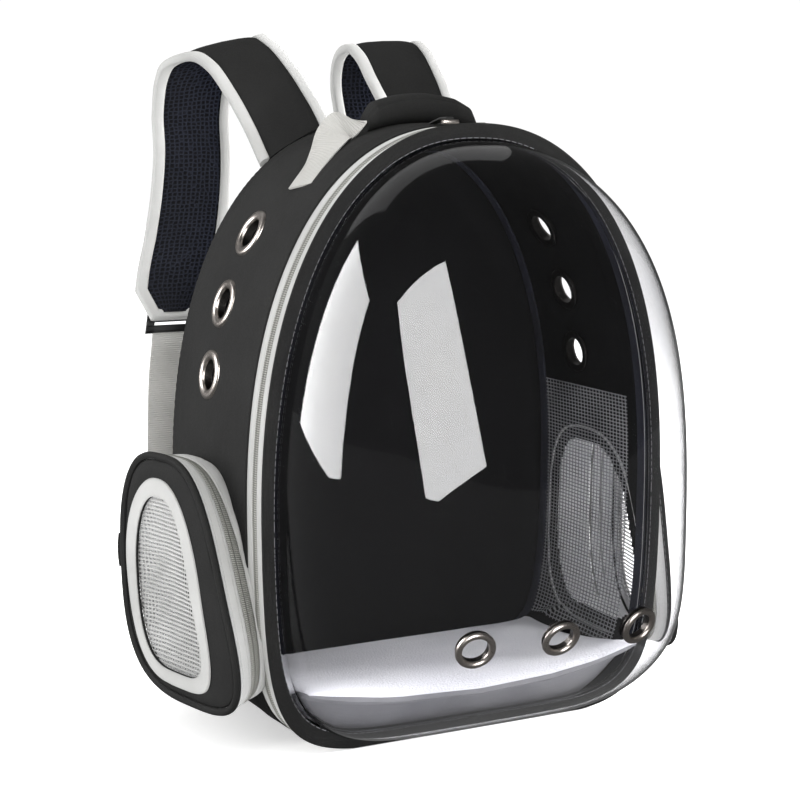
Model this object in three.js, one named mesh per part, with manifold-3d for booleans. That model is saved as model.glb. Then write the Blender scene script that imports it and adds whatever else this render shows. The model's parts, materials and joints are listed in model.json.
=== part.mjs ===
// Bubble pet carrier backpack: a soft body with a clear domed door, two side pods and shoulder straps.
// Millimetres, +Z up. The dome looks along -Y and the wearer's back is at +Y.
// The origin is the middle of the flat underside.
import * as THREE from "three";
import { mergeVertices } from "three/addons/utils/BufferGeometryUtils.js";
import Module from "manifold-3d";

const wasm = await Module();
wasm.setup();

// Clearances between pieces
const gap = 0.3;
const curveGap = 0.5;
const doorGap = 0.7;
const strapSeamGap = 0.6;

// Body outline, seen from the front
const rimHalfWidth = 158;
const bodyHeight = 420;
const beltHeight = 160;
const archRoundness = 2.25;
const baseRoundness = 6;
const baseTuck = 0.06;
const restTrim = 1.5;
const archSteps = 22;
const baseSteps = 20;

// Body depth and walls
const bodyDepth = 165;
const wall = 3;
const backPadding = 6;
const seamBindingWidth = 10;
const seamBindingThickness = 1.2;

// Door rim, measured back from the front rim plane
const rimLip = 5;
const bindingThickness = 3.5;
const bindingRound = 1.5;
const flangeThickness = 1.5;
const tapeThickness = 2.4;
const frontTapeWidth = 8.4;
const chainWidth = 6.4;
const chainProud = 0.4;
const rearTapeWidth = 9.4;

// Clear dome
const domeInset = 10;
const domeDepth = 125.7;
const domeThickness = 1.5;
const domeCentreHeight = 118.2;
const domeSideRoundness = 2.39;
const domeTopRoundness = 2.07;
const domeBottomRoundness = 1.59;
const domeFrontArchRoundness = 3.44;
const domeFrontBaseRoundness = 4.62;
const domeNeck = 6;
const domeSag = 9.6;
const domeSagRun = 0.05;
const domeBaseRun = 0.12;
const domeOuterShares = [1, 0.965, 0.9, 0.8, 0.66, 0.46, 0.24, 0.1];
const domeInnerShares = [0.2, 0.5, 0.76, 0.89, 0.96, 1];

// Metal vent rings
const sideRing = { outer: 17.5, hole: 10.75, sleeve: 12.4, crown: 2.8, washer: 16, sag: 1.3 };
const domeRing = { outer: 13.5, hole: 9, sleeve: 10.3, crown: 2.4, washer: 12.5, sag: 3.4 };
const ringSegments = 12;
const drillSegments = 20;
const washerThickness = 1.1;
const crownRise = 0.55;
const crownShift = 0.6;
const drillReach = 24;
const sideRingSetback = 100;
const sideRingDrops = { upper: 75, middle: 123, lower: 172 };
const domeRingSpread = 61.3;
const domeRingHeight = 95.4;
const domeRingPlaces = [
  { side: "left", x: -domeRingSpread, z: domeRingHeight },
  { side: "middle", x: 0, z: domeRingHeight },
  { side: "right", x: domeRingSpread, z: domeRingHeight },
];

// Side pods: a face on a tilted plane, and its foot on the gusset
const podTilt = THREE.MathUtils.degToRad(14);
const podStandOff = 17;
const podFace = {
  centre: 73.3, height: 113.3, halfWidth: 61.8, halfHeight: 85.6,
  top: 2.97, bottom: 3.19, taper: 0.212, lean: 0.198, bend: -0.078,
};
const podTrim = {
  centre: 82.8, height: 109.4, halfWidth: 44.8, halfHeight: 71.8,
  top: 2.1, bottom: 3.6, taper: 0.08, lean: 0.167, bend: -0.11,
};
const podWindow = {
  centre: 83.5, height: 107.7, halfWidth: 32.8, halfHeight: 60.2,
  top: 2.6, bottom: 3.8, taper: 0.187, lean: 0.171, bend: -0.111,
};
const podFoot = {
  centre: 84, height: 112, halfWidth: 64, halfHeight: 75,
  top: 3, bottom: 3, taper: 0.2, lean: 0.2, bend: 0,
};
const podSteps = 24;
const podWall = 2;
const podFaceThickness = 2;
const podPipingRadius = 2.6;
const podFaceBandWidth = 11.5;
const podChainWidth = 6.6;
const podTrimThickness = 1;
const podNetThickness = 1;
const podNetOverlap = 4;
const podSinkIntoBody = 6;
const podWallUnderPiping = 1.6;
const podBendBalance = 0.33;
const podTabHeight = 24;
const podTabLevel = 122;
const podTabReach = 5;
const podTabThickness = 2.4;
const podTabGap = 0.8;
const podTabEndShare = 0.5;
const podNetSag = 4.5;

// Folds of a pod's net, from its rim to its middle: share of the way in, then sink and crease as
// shares of the net's sag
const podNetFolds = [
  { inward: 0, sink: 0, crease: 0 },
  { inward: 0.4, sink: 0.56, crease: 0.27 },
  { inward: 0.75, sink: 1, crease: 0.36 },
];
const podNetCreases = 3;

// Inner side nets and the window that they cover
const netThickness = 1.2;
const netRingGap = 9.5;
const netBottom = 30;
const netFront = 34;
const windowRim = 9;
const windowCut = { inward: 48, outward: 32 };

// Floor pad: its front lip reaches into the dome and its front corners curl up
const padTop = 27;
const padLip = 15.5;
const padEdge = 10.5;
const padFrontRise = 9;
const padCurl = 16;
const padCurlPower = 2.3;
const padRisePower = 1.4;
const padWing = 0.6;
const padFrontHalf = 130;
const padRound = 3;
const padSeamGap = 0.7;
const padRimGap = 1.2;
const padColumns = [-1, -0.8, -0.5, 0, 0.5, 0.8, 1];

// Shoulder straps
const strapWidth = 62;
const strapThickness = 8;
const strapBindingWidth = 8.5;
const strapBindingProud = 0.6;
const strapTipChamfer = 25;
const strapTipWidth = 32;
const tipCornerBack = 3.4;
const tipCornerIn = 4.7;
const strapSteps = 20;
const strapReach = 111;
const adjuster = { width: 34, height: 22, thickness: 4, bar: 4, overlap: 15 };
const slotOvershoot = 2;
const webbingWidth = 25;
const webbingThickness = 1.6;
const webbingGap = 1;
const webbingRun = 8;

// Middle line of each strap from the top seam to the tip: out from the middle as a share of the
// rim's half width, behind the back plane as a share of the strap's reach, above the body's top as
// a share of its height, then the lean and turn of its width in degrees
const strapRoutes = {
  left: [
    { out: 0.354, behind: 0.032, above: -0.034, lean: 28, turn: 0 },
    { out: 0.367, behind: 0.225, above: 0.017, lean: 24, turn: 0 },
    { out: 0.392, behind: 0.477, above: 0.076, lean: 20, turn: 0 },
    { out: 0.43, behind: 0.703, above: 0.124, lean: 16, turn: 0 },
    { out: 0.475, behind: 0.847, above: 0.14, lean: 14, turn: 0 },
    { out: 0.532, behind: 0.955, above: 0.124, lean: 12, turn: 0 },
    { out: 0.589, behind: 1, above: 0.079, lean: 8, turn: 0 },
    { out: 0.627, behind: 0.964, above: 0.019, lean: 4, turn: 0 },
    { out: 0.652, behind: 0.856, above: -0.057, lean: 0, turn: 0 },
    { out: 0.696, behind: 0.748, above: -0.133, lean: 0, turn: 0 },
    { out: 0.759, behind: 0.622, above: -0.207, lean: 0, turn: 0 },
    { out: 0.835, behind: 0.477, above: -0.276, lean: 0, turn: 0 },
    { out: 0.892, behind: 0.36, above: -0.343, lean: 0, turn: 0 },
  ],
  right: [
    { out: 0.367, behind: 0.032, above: -0.034, lean: 26, turn: 0 },
    { out: 0.373, behind: 0.225, above: 0.019, lean: 14, turn: 15 },
    { out: 0.38, behind: 0.459, above: 0.083, lean: 6, turn: 25 },
    { out: 0.386, behind: 0.676, above: 0.131, lean: 0, turn: 20 },
    { out: 0.38, behind: 0.82, above: 0.148, lean: -3, turn: 12 },
    { out: 0.361, behind: 0.937, above: 0.131, lean: -4, turn: 8 },
    { out: 0.342, behind: 0.982, above: 0.086, lean: -3, turn: 4 },
    { out: 0.348, behind: 0.955, above: 0.024, lean: 0, turn: 0 },
    { out: 0.392, behind: 0.865, above: -0.052, lean: 0, turn: 0 },
    { out: 0.481, behind: 0.757, above: -0.126, lean: 0, turn: 0 },
    { out: 0.608, behind: 0.631, above: -0.198, lean: 0, turn: 0 },
    { out: 0.747, behind: 0.495, above: -0.267, lean: 0, turn: 0 },
    { out: 0.861, behind: 0.378, above: -0.333, lean: 0, turn: 0 },
  ],
};

// The webbing from the adjuster down to the body's lower rear corner, in the same columns
const webbingRoute = [
  { out: 0.943, behind: 0.342, above: -0.44 },
  { out: 0.981, behind: 0.243, above: -0.56 },
  { out: 1.013, behind: 0.117, above: -0.702 },
  { out: 1, behind: 0.045, above: -0.821 },
  { out: 0.943, behind: 0.013, above: -0.893 },
  { out: 0.873, behind: 0.013, above: -0.933 },
];

// Handle
const handleSetback = 78;
const gripLength = 86;
const gripHeight = 21;
const gripDepth = 24;
const gripSteps = 10;
const gripSeat = 0.8;
const handleWebbingWidth = 20;
const handleWebbingThickness = 1.5;
const handleSeatRun = 26;
const handleTailRun = 54;

// Swell of the grip along its length, from its left end to its right end
const gripSwell = [
  { along: -1, swell: 0.62 },
  { along: -0.86, swell: 0.92 },
  { along: -0.4, swell: 1 },
  { along: 0.1, swell: 1 },
  { along: 0.6, swell: 0.94 },
  { along: 0.9, swell: 0.78 },
  { along: 1, swell: 0.5 },
];

// The handle's webbing: past the grip's end as a share of its run, behind the handle's line as a
// share of its width, off the body as a share of the grip's height, and the direction of its width
const handleRoutes = {
  right: [
    { past: 0.038, behind: 0, off: 0.331, width: [0, 1, 0] },
    { past: 0.231, behind: 0, off: 0.283, width: [0, 1, 0] },
    { past: 0.5, behind: 0.05, off: 0.069, width: [0, 1, 0] },
    { past: 0.731, behind: 0.05, off: 0.007, width: [0, 1, 0] },
    { past: 1, behind: 0.05, off: 0.007, width: [0, 1, 0] },
  ],
  tail: [
    { past: 0.019, behind: 0, off: 0.379, width: [0, 1, 0] },
    { past: 0.111, behind: 0, off: 0.426, width: [-0.2, 1, 0.3] },
    { past: 0.222, behind: 0.15, off: 0.379, width: [-0.4, 0.8, 0.5] },
    { past: 0.37, behind: 0.2, off: 0.283, width: [-0.5, 0.9, 0.2] },
    { past: 0.519, behind: 0, off: 0.102, width: [-0.2, 1, 0] },
    { past: 0.685, behind: -0.25, off: 0.05, width: [0, 1, 0] },
    { past: 0.852, behind: -0.45, off: 0.05, width: [0.1, 1, 0] },
    { past: 1, behind: -0.6, off: 0.05, width: [0.15, 1, 0] },
  ],
};

// Main zip slider
const slider = { length: 11, width: 8, height: 3, chamfer: 1 };
const sliderAlong = -12;
const pull = { length: 24, width: 6, thickness: 1.4 };

// Finishes
const finishes = {
  blackCloth: { color: 0x1d1d1c, roughness: 0.85, metalness: 0 },
  blackMesh: { color: 0x0e1016, roughness: 0.95, metalness: 0 },
  greyTape: { color: 0xcfcfcd, roughness: 0.8, metalness: 0 },
  greyWebbing: { color: 0xc4c3be, roughness: 0.85, metalness: 0 },
  zipChain: { color: 0x7c7c6c, roughness: 0.6, metalness: 0 },
  gunmetal: { color: 0x6b635c, roughness: 0.25, metalness: 1 },
  clear: { color: 0xf2f4f6, roughness: 0.05, metalness: 0, transparent: true, opacity: 0.25 },
  lightNet: { color: 0xb9b9b6, roughness: 0.8, metalness: 0 },
  darkNet: { color: 0x5d5f60, roughness: 0.8, metalness: 0 },
  plush: { color: 0xebebf0, roughness: 1, metalness: 0 },
  blackPlastic: { color: 0x151515, roughness: 0.45, metalness: 0 },
};

const group = new THREE.Group();

function power(value, exponent) {
  return Math.sign(value) * Math.abs(value) ** exponent;
}

// Closed solids from rings of points

function tidySolid(source) {
  let geometry = source;
  geometry.deleteAttribute("normal");
  geometry.deleteAttribute("uv");
  geometry = mergeVertices(geometry, 1e-3);
  const index = geometry.index.array;
  const kept = [];
  for (let i = 0; i < index.length; i += 3) {
    const [a, b, c] = [index[i], index[i + 1], index[i + 2]];
    if (a !== b && b !== c && c !== a) kept.push(a, b, c);
  }
  const spot = geometry.attributes.position;
  const corner = (n) => new THREE.Vector3().fromBufferAttribute(spot, n);
  let volume = 0;
  for (let i = 0; i < kept.length; i += 3) {
    volume += corner(kept[i]).dot(corner(kept[i + 1]).cross(corner(kept[i + 2])));
  }
  if (volume < 0) {
    for (let i = 0; i < kept.length; i += 3) [kept[i + 1], kept[i + 2]] = [kept[i + 2], kept[i + 1]];
  }
  geometry.setIndex(kept);
  return geometry;
}

// Joins rings of equal length. A loop closes on itself, and an open run is capped.
function loft(rings, isLoop = false) {
  const points = rings.flat();
  const size = rings[0].length;
  const index = [];
  const runs = isLoop ? rings.length : rings.length - 1;
  for (let r = 0; r < runs; r += 1) {
    const here = r * size;
    const next = ((r + 1) % rings.length) * size;
    for (let i = 0; i < size; i += 1) {
      const j = (i + 1) % size;
      index.push(here + i, here + j, next + j, here + i, next + j, next + i);
    }
  }
  if (!isLoop) {
    const last = (rings.length - 1) * size;
    for (let i = 1; i < size - 1; i += 1) {
      index.push(0, i + 1, i, last, last + i, last + i + 1);
    }
  }
  const geometry = new THREE.BufferGeometry().setFromPoints(points);
  geometry.setIndex(index);
  return tidySolid(geometry);
}

function toManifold(geometry) {
  return new wasm.Manifold(new wasm.Mesh({
    numProp: 3,
    vertProperties: new Float32Array(geometry.attributes.position.array),
    triVerts: new Uint32Array(geometry.index.array),
  }));
}

function fromManifold(body) {
  const cut = body.getMesh();
  const geometry = new THREE.BufferGeometry();
  geometry.setAttribute("position", new THREE.BufferAttribute(new Float32Array(cut.vertProperties), 3));
  geometry.setIndex(new THREE.BufferAttribute(new Uint32Array(cut.triVerts), 1));
  return geometry;
}

function cutAway(geometry, tools) {
  let body = toManifold(geometry);
  for (const tool of tools) body = body.subtract(toManifold(tool));
  return fromManifold(body);
}

function addPiece(name, geometry, finish) {
  const mesh = new THREE.Mesh(geometry, new THREE.MeshStandardMaterial(finish));
  mesh.name = name;
  group.add(mesh);
}

// Body outline and the surfaces that follow it

const frontPlane = -bodyDepth / 2;
const backPlane = bodyDepth / 2;
const seamFront = backPlane - backPadding - gap - seamBindingWidth;
const netTop = bodyHeight - sideRingDrops.lower - sideRing.outer - netRingGap;
const padFront = frontPlane - padLip;
const padBack = seamFront - padSeamGap;
const outlineAngles = [
  ...Array.from({ length: archSteps }, (_, i) => (i * Math.PI) / archSteps),
  ...Array.from({ length: baseSteps }, (_, i) => Math.PI + (i * Math.PI) / baseSteps),
];

function outlineSpot(angle) {
  const rise = Math.sin(angle);
  const across = Math.cos(angle);
  if (rise >= 0) {
    const lift = (bodyHeight - beltHeight) * rise ** (2 / archRoundness);
    return new THREE.Vector2(rimHalfWidth * power(across, 2 / archRoundness), beltHeight + lift);
  }
  const drop = Math.abs(rise) ** (2 / baseRoundness);
  const half = rimHalfWidth * (1 - baseTuck * drop * drop);
  return new THREE.Vector2(
    half * power(across, 2 / baseRoundness),
    beltHeight - Math.min(beltHeight, (beltHeight + restTrim) * drop),
  );
}

// Outward direction of the outline at an angle
function outlineNormal(angle) {
  const nudge = 0.004;
  const along = outlineSpot(angle + nudge).sub(outlineSpot(angle - nudge)).normalize();
  return new THREE.Vector2(along.y, -along.x);
}

function outlineRing(inset, y) {
  return outlineAngles.map((angle) => {
    const spot = outlineSpot(angle).addScaledVector(outlineNormal(angle), -inset);
    return new THREE.Vector3(spot.x, y, Math.max(0, spot.y));
  });
}

// Half width of the body at a height
function halfWidthAt(height) {
  if (height >= beltHeight) {
    const share = Math.min(1, (height - beltHeight) / (bodyHeight - beltHeight));
    return rimHalfWidth * (1 - share ** archRoundness) ** (1 / archRoundness);
  }
  const share = Math.min(1, (beltHeight - height) / (beltHeight + restTrim));
  const tuck = 1 - baseTuck * share * share;
  return rimHalfWidth * tuck * (1 - share ** baseRoundness) ** (1 / baseRoundness);
}

// Half width inside the body's faceted shell at a height
function insideHalfWidth(inset, height) {
  const ring = outlineRing(inset, 0);
  let half = 0;
  ring.forEach((point, i) => {
    const next = ring[(i + 1) % ring.length];
    const span = next.z - point.z;
    if ((point.z - height) * (next.z - height) <= 0 && span !== 0) {
      half = Math.max(half, point.x + ((next.x - point.x) * (height - point.z)) / span);
    }
  });
  return half;
}

// Turns rings that run round the body into one section per station
function crossSections(rings) {
  return rings[0].map((_, i) => rings.map((ring) => ring[i]));
}

function bodyBand(outerInset, innerInset, yFront, yBack) {
  const rings = [
    outlineRing(outerInset, yFront), outlineRing(outerInset, yBack),
    outlineRing(innerInset, yBack), outlineRing(innerInset, yFront),
  ];
  return loft(crossSections(rings), true);
}

// Clear dome

function falloff(share, roundness) {
  return Math.max(0, 1 - share ** roundness) ** (1 / roundness);
}

// The bottom bulges below the neck that the rim holds
function domeSection(share, thin) {
  const half = rimHalfWidth - domeInset - thin;
  const pastNeck = Math.max(0, share - domeNeck / domeDepth);
  const centre = beltHeight + (domeCentreHeight - beltHeight) * pastNeck;
  const floor = domeInset + thin - domeSag * (1 - Math.exp(-pastNeck / domeSagRun));
  const squareness = Math.exp(-share / domeBaseRun);
  return {
    half: half * falloff(share, domeSideRoundness),
    rise: (bodyHeight - domeInset - thin - centre) * falloff(share, domeTopRoundness),
    drop: (centre - floor) * falloff(share, domeBottomRoundness),
    arch: archRoundness + (domeFrontArchRoundness - archRoundness) * pastNeck,
    base: domeFrontBaseRoundness + (baseRoundness - domeFrontBaseRoundness) * squareness,
    centre,
    y: frontPlane - (domeDepth - thin) * share,
  };
}

function domeRingAt(share, thin, y) {
  const cut = domeSection(share, thin);
  return outlineAngles.map((angle) => {
    const rise = Math.sin(angle);
    const across = Math.cos(angle);
    const exponent = 2 / (rise >= 0 ? cut.arch : cut.base);
    const lift = Math.abs(rise) ** exponent;
    const half = cut.half * (rise >= 0 ? 1 : 1 - baseTuck * lift * lift);
    const z = cut.centre + (rise >= 0 ? cut.rise : -cut.drop) * lift;
    return new THREE.Vector3(half * power(across, exponent), y ?? cut.y, z);
  });
}

// Depth share at which the dome's outer surface passes over a point of its face
function domeShareOver(x, z) {
  let low = 0;
  let high = 1;
  for (let turn = 0; turn < 40; turn += 1) {
    const middle = (low + high) / 2;
    const cut = domeSection(middle, 0);
    const isHigh = z >= cut.centre;
    const exponent = isHigh ? cut.arch : cut.base;
    const reach = (Math.abs(x) / cut.half) ** exponent
      + (Math.abs(z - cut.centre) / (isHigh ? cut.rise : cut.drop)) ** exponent;
    if (reach < 1) low = middle;
    else high = middle;
  }
  return low;
}

function domeSpot(x, z) {
  return new THREE.Vector3(x, domeSection(domeShareOver(x, z), 0).y, z);
}

function domeNormal(x, z) {
  const nudge = 3;
  const across = domeSpot(x + nudge, z).sub(domeSpot(x - nudge, z));
  const up = domeSpot(x, z + nudge).sub(domeSpot(x, z - nudge));
  return across.cross(up).normalize();
}

// Vent rings

function ventRing(size, sheet) {
  const washerTop = -(sheet + size.sag);
  const profile = [
    [size.hole, washerTop - washerThickness],
    [size.hole, size.crown * crownRise],
    [(size.hole + size.outer) / 2 - crownShift, size.crown],
    [size.outer, curveGap],
    [size.sleeve, curveGap],
    [size.sleeve, washerTop],
    [size.washer, washerTop],
    [size.washer, washerTop - washerThickness],
  ];
  const rings = Array.from({ length: ringSegments }, (_, i) => {
    const turn = (i * 2 * Math.PI) / ringSegments;
    return profile.map(([radius, height]) => (
      new THREE.Vector3(radius * Math.cos(turn), radius * Math.sin(turn), height)));
  });
  return loft(rings, true);
}

function drill(radius, length) {
  const tool = new THREE.CylinderGeometry(radius, radius, length, drillSegments);
  tool.rotateX(Math.PI / 2);
  return tidySolid(tool);
}

// Places a shape made along +Z at a point, facing a direction
function settle(geometry, point, direction) {
  const turn = new THREE.Quaternion().setFromUnitVectors(new THREE.Vector3(0, 0, 1), direction);
  geometry.applyQuaternion(turn);
  geometry.translate(point.x, point.y, point.z);
  return geometry;
}

function sideRingSeat(side, height) {
  const nudge = 1;
  const slope = (halfWidthAt(height + nudge) - halfWidthAt(height - nudge)) / (2 * nudge);
  return {
    point: new THREE.Vector3(side * halfWidthAt(height), frontPlane + sideRingSetback, height),
    direction: new THREE.Vector3(side, 0, -slope).normalize(),
  };
}

const sides = [{ name: "left", sign: -1 }, { name: "right", sign: 1 }];
const sleeveHole = (size) => size.sleeve + curveGap;

function buildVentRings() {
  for (const side of sides) {
    for (const [level, drop] of Object.entries(sideRingDrops)) {
      const seat = sideRingSeat(side.sign, bodyHeight - drop);
      const ring = settle(ventRing(sideRing, wall), seat.point, seat.direction);
      addPiece(`side_grommet_${side.name}_${level}`, ring, finishes.gunmetal);
    }
  }
  for (const place of domeRingPlaces) {
    const ring = ventRing(domeRing, domeThickness);
    settle(ring, domeSpot(place.x, place.z), domeNormal(place.x, place.z));
    addPiece(`dome_grommet_${place.side}`, ring, finishes.gunmetal);
  }
}

// Pod outlines: a rounded, leaning, tapered egg in its own plane

function podSpot(shape, angle, inset = 0) {
  const spot = (turn) => {
    const rise = Math.sin(turn);
    const exponent = 2 / (rise >= 0 ? shape.top : shape.bottom);
    const v = power(rise, exponent);
    const shift = shape.lean * v + shape.bend * (v * v - podBendBalance);
    const middle = shape.centre + shape.halfHeight * shift;
    const half = shape.halfWidth * (1 - shape.taper * v);
    return new THREE.Vector2(
      middle + half * power(Math.cos(turn), exponent),
      shape.height + shape.halfHeight * v,
    );
  };
  const nudge = 0.02;
  const along = spot(angle + nudge).sub(spot(angle - nudge)).normalize();
  return spot(angle).addScaledVector(new THREE.Vector2(along.y, -along.x), -inset);
}

const podAngles = Array.from({ length: podSteps }, (_, i) => ((i + 0.5) * 2 * Math.PI) / podSteps);

// A spot of the tilted face plane, lifted off it along its normal
function onPodFace(side, spot, lift) {
  return new THREE.Vector3(
    side * (rimHalfWidth + podStandOff + spot.x * Math.sin(podTilt) + lift * Math.cos(podTilt)),
    frontPlane + spot.x * Math.cos(podTilt) - lift * Math.sin(podTilt),
    spot.y,
  );
}

function faceRing(side, shape, inset, lift) {
  return podAngles.map((angle) => onPodFace(side, podSpot(shape, angle, inset), lift));
}

function footRing(side, inset) {
  return podAngles.map((angle) => {
    const spot = podSpot(podFoot, angle, inset);
    return new THREE.Vector3(
      side * (halfWidthAt(spot.y) - podSinkIntoBody), frontPlane + spot.x, spot.y);
  });
}

// A ring of the pod's wall, at a distance from the face measured down the wall
function wallRing(side, inset, distance) {
  const face = faceRing(side, podFace, inset + podWallUnderPiping, -podPipingRadius);
  const foot = footRing(side, inset);
  return face.map((top, i) => {
    const run = foot[i].clone().sub(top);
    const share = Math.min(1, distance / run.length());
    return top.clone().addScaledVector(run, share);
  });
}

function wallBand(side, from, to, proud = 0) {
  const rings = [
    wallRing(side, -proud, from), wallRing(side, -proud, to),
    wallRing(side, podWall, to), wallRing(side, podWall, from),
  ];
  return loft(crossSections(rings), true);
}

// The whole body as one block, grown a little, to trim what stands on it
function bodyBlock(grow) {
  return loft([outlineRing(-grow, frontPlane - grow), outlineRing(-grow, backPlane + grow)]);
}

function podNetSheet(side) {
  const lowest = -(podFaceThickness + gap + podNetThickness);
  const layer = (lift) => {
    const rings = podNetFolds.map((fold) => podAngles.map((angle) => {
      const rim = podSpot(podWindow, angle, -podNetOverlap);
      const middle = new THREE.Vector2(podWindow.centre, podWindow.height);
      const spot = rim.lerp(middle, fold.inward);
      const sink = podNetSag * (fold.sink + fold.crease * Math.sin(angle * podNetCreases));
      return onPodFace(side, spot, lift - sink);
    }));
    const pole = onPodFace(side, new THREE.Vector2(podWindow.centre, podWindow.height), lift - podNetSag);
    rings.push(podAngles.map(() => pole.clone()));
    return rings;
  };
  const outside = layer(lowest + podNetThickness).reverse();
  return loft([...outside, ...layer(lowest)]);
}

function podPipingRing(side) {
  const edges = 6;
  const rings = Array.from({ length: edges }, (_, k) => {
    const turn = (k * 2 * Math.PI) / edges;
    const inset = podPipingRadius * (1 - Math.cos(turn));
    return faceRing(side, podFace, inset, podPipingRadius * Math.sin(turn));
  });
  return loft(crossSections(rings), true);
}

function flatRing(side, outer, inner, liftTop, liftBottom) {
  const edge = ({ shape, inset }, lift) => faceRing(side, shape, inset, lift);
  return loft(crossSections([
    edge(outer, liftTop), edge(inner, liftTop), edge(inner, liftBottom), edge(outer, liftBottom),
  ]), true);
}

function podTabBlock(side) {
  const half = podTabHeight / 2;
  const corner = (height, reach, lift) => {
    const edge = podSpot(podFace, 0).x;
    return onPodFace(side, new THREE.Vector2(edge + reach, height), lift);
  };
  const section = (height, reach) => [
    corner(height, podTabGap, -podTabThickness / 2), corner(height, reach, -podTabThickness / 2),
    corner(height, reach, podTabThickness / 2), corner(height, podTabGap, podTabThickness / 2),
  ];
  return loft([
    section(podTabLevel - half, podTabReach * podTabEndShare),
    section(podTabLevel, podTabReach),
    section(podTabLevel + half, podTabReach * podTabEndShare),
  ]);
}

function buildPods() {
  const chainStart = podFaceBandWidth + gap;
  const chainEnd = chainStart + podChainWidth;
  const block = bodyBlock(chainProud + gap);
  for (const { name, sign } of sides) {
    const baseBand = wallBand(sign, chainEnd + gap, Infinity);
    addPiece(`pod_base_band_${name}`, cutAway(baseBand, [block]), finishes.greyTape);
    const chain = wallBand(sign, chainStart, chainEnd, chainProud);
    addPiece(`pod_zip_chain_${name}`, chain, finishes.zipChain);
    addPiece(`pod_face_band_${name}`, wallBand(sign, 0, podFaceBandWidth), finishes.greyTape);
    addPiece(`pod_piping_${name}`, podPipingRing(sign), finishes.blackCloth);
    const plateEdge = { shape: podFace, inset: 2 * podPipingRadius + gap };
    const hole = { shape: podWindow, inset: 0 };
    const plate = flatRing(sign, plateEdge, hole, 0, -podFaceThickness);
    addPiece(`pod_face_${name}`, plate, finishes.blackCloth);
    const trim = flatRing(sign, { shape: podTrim, inset: 0 }, hole, gap + podTrimThickness, gap);
    addPiece(`pod_trim_${name}`, trim, finishes.greyTape);
    addPiece(`pod_net_${name}`, podNetSheet(sign), finishes.lightNet);
    addPiece(`pod_tab_${name}`, podTabBlock(sign), finishes.blackCloth);
  }
}

// Body

const bindingBack = frontPlane - rimLip + bindingThickness;
const flangeFront = bindingBack + gap;
const flangeBack = flangeFront + flangeThickness;
const frontTapeEnd = flangeFront + frontTapeWidth;
const chainBegin = frontTapeEnd + gap;
const chainFinish = chainBegin + chainWidth;
const rearTapeBegin = chainFinish + gap;
const rearTapeEnd = rearTapeBegin + rearTapeWidth;
const gussetFront = rearTapeEnd + gap;

function windowTool(side) {
  const ring = (x) => podAngles.map((angle) => {
    const spot = podSpot(podFoot, angle, windowRim);
    return new THREE.Vector3(side * x, frontPlane + spot.x, spot.y);
  });
  return loft([ring(rimHalfWidth - windowCut.inward), ring(rimHalfWidth + windowCut.outward)]);
}

function buildGusset() {
  const tools = [];
  for (const { sign } of sides) {
    tools.push(windowTool(sign));
    for (const drop of Object.values(sideRingDrops)) {
      const seat = sideRingSeat(sign, bodyHeight - drop);
      tools.push(settle(drill(sleeveHole(sideRing), drillReach), seat.point, seat.direction));
    }
  }
  const band = bodyBand(0, wall, gussetFront, backPlane);
  addPiece("gusset", cutAway(band, tools), finishes.blackCloth);
}

function buildBack() {
  const front = backPlane - backPadding;
  const inset = wall + gap;
  const panel = loft([outlineRing(inset, front), outlineRing(inset, backPlane)]);
  addPiece("back_panel", panel, finishes.blackCloth);
  const seam = bodyBand(inset, inset + seamBindingThickness, seamFront, seamFront + seamBindingWidth);
  addPiece("back_seam_binding", seam, finishes.blackCloth);
}

function buildDoorRim() {
  const bindingFront = frontPlane - rimLip;
  const rings = [
    outlineRing(0, bindingBack), outlineRing(bindingRound, bindingFront),
    domeRingAt(0, -doorGap, bindingFront), domeRingAt(0, -doorGap, bindingBack),
  ];
  addPiece("front_binding", loft(crossSections(rings), true), finishes.blackCloth);
  addPiece("front_tape", bodyBand(0, tapeThickness, flangeFront, frontTapeEnd), finishes.greyTape);
  const chain = bodyBand(-chainProud, tapeThickness, chainBegin, chainFinish);
  addPiece("main_zip_chain", chain, finishes.zipChain);
  addPiece("rear_tape", bodyBand(0, tapeThickness, rearTapeBegin, rearTapeEnd), finishes.greyTape);
}

function buildDome() {
  const neck = domeNeck / domeDepth;
  const rings = [...domeOuterShares, neck].map((share) => domeRingAt(share, 0));
  rings.push(domeRingAt(0, 0, flangeFront));
  rings.push(outlineRing(tapeThickness + gap, flangeFront));
  rings.push(outlineRing(tapeThickness + gap, flangeBack));
  rings.push(domeRingAt(0, domeThickness, flangeBack));
  rings.push(...[neck, ...domeInnerShares].map((share) => domeRingAt(share, domeThickness)));
  const holes = domeRingPlaces.map(({ x, z }) => (
    settle(drill(sleeveHole(domeRing), drillReach), domeSpot(x, z), domeNormal(x, z))));
  addPiece("dome", cutAway(loft(rings), holes), finishes.clear);
}

// Inner nets lie on the gusset's inside and close the windows
function buildSideNets() {
  const back = seamFront - gap;
  const front = frontPlane + netFront;
  const inside = wall + gap;
  const between = outlineRing(inside, 0)
    .filter(({ x, z }) => x > 0 && z > netBottom && z < netTop)
    .map(({ z }) => z)
    .sort((a, b) => a - b);
  for (const { name, sign } of sides) {
    const sections = [netBottom, ...between, netTop].map((height) => {
      const outer = sign * insideHalfWidth(inside, height);
      const inner = sign * insideHalfWidth(inside + netThickness, height);
      return [[outer, front], [outer, back], [inner, back], [inner, front]]
        .map(([x, y]) => new THREE.Vector3(x, y, height));
    });
    addPiece(`side_net_${name}`, loft(sections), finishes.darkNet);
  }
}

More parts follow.
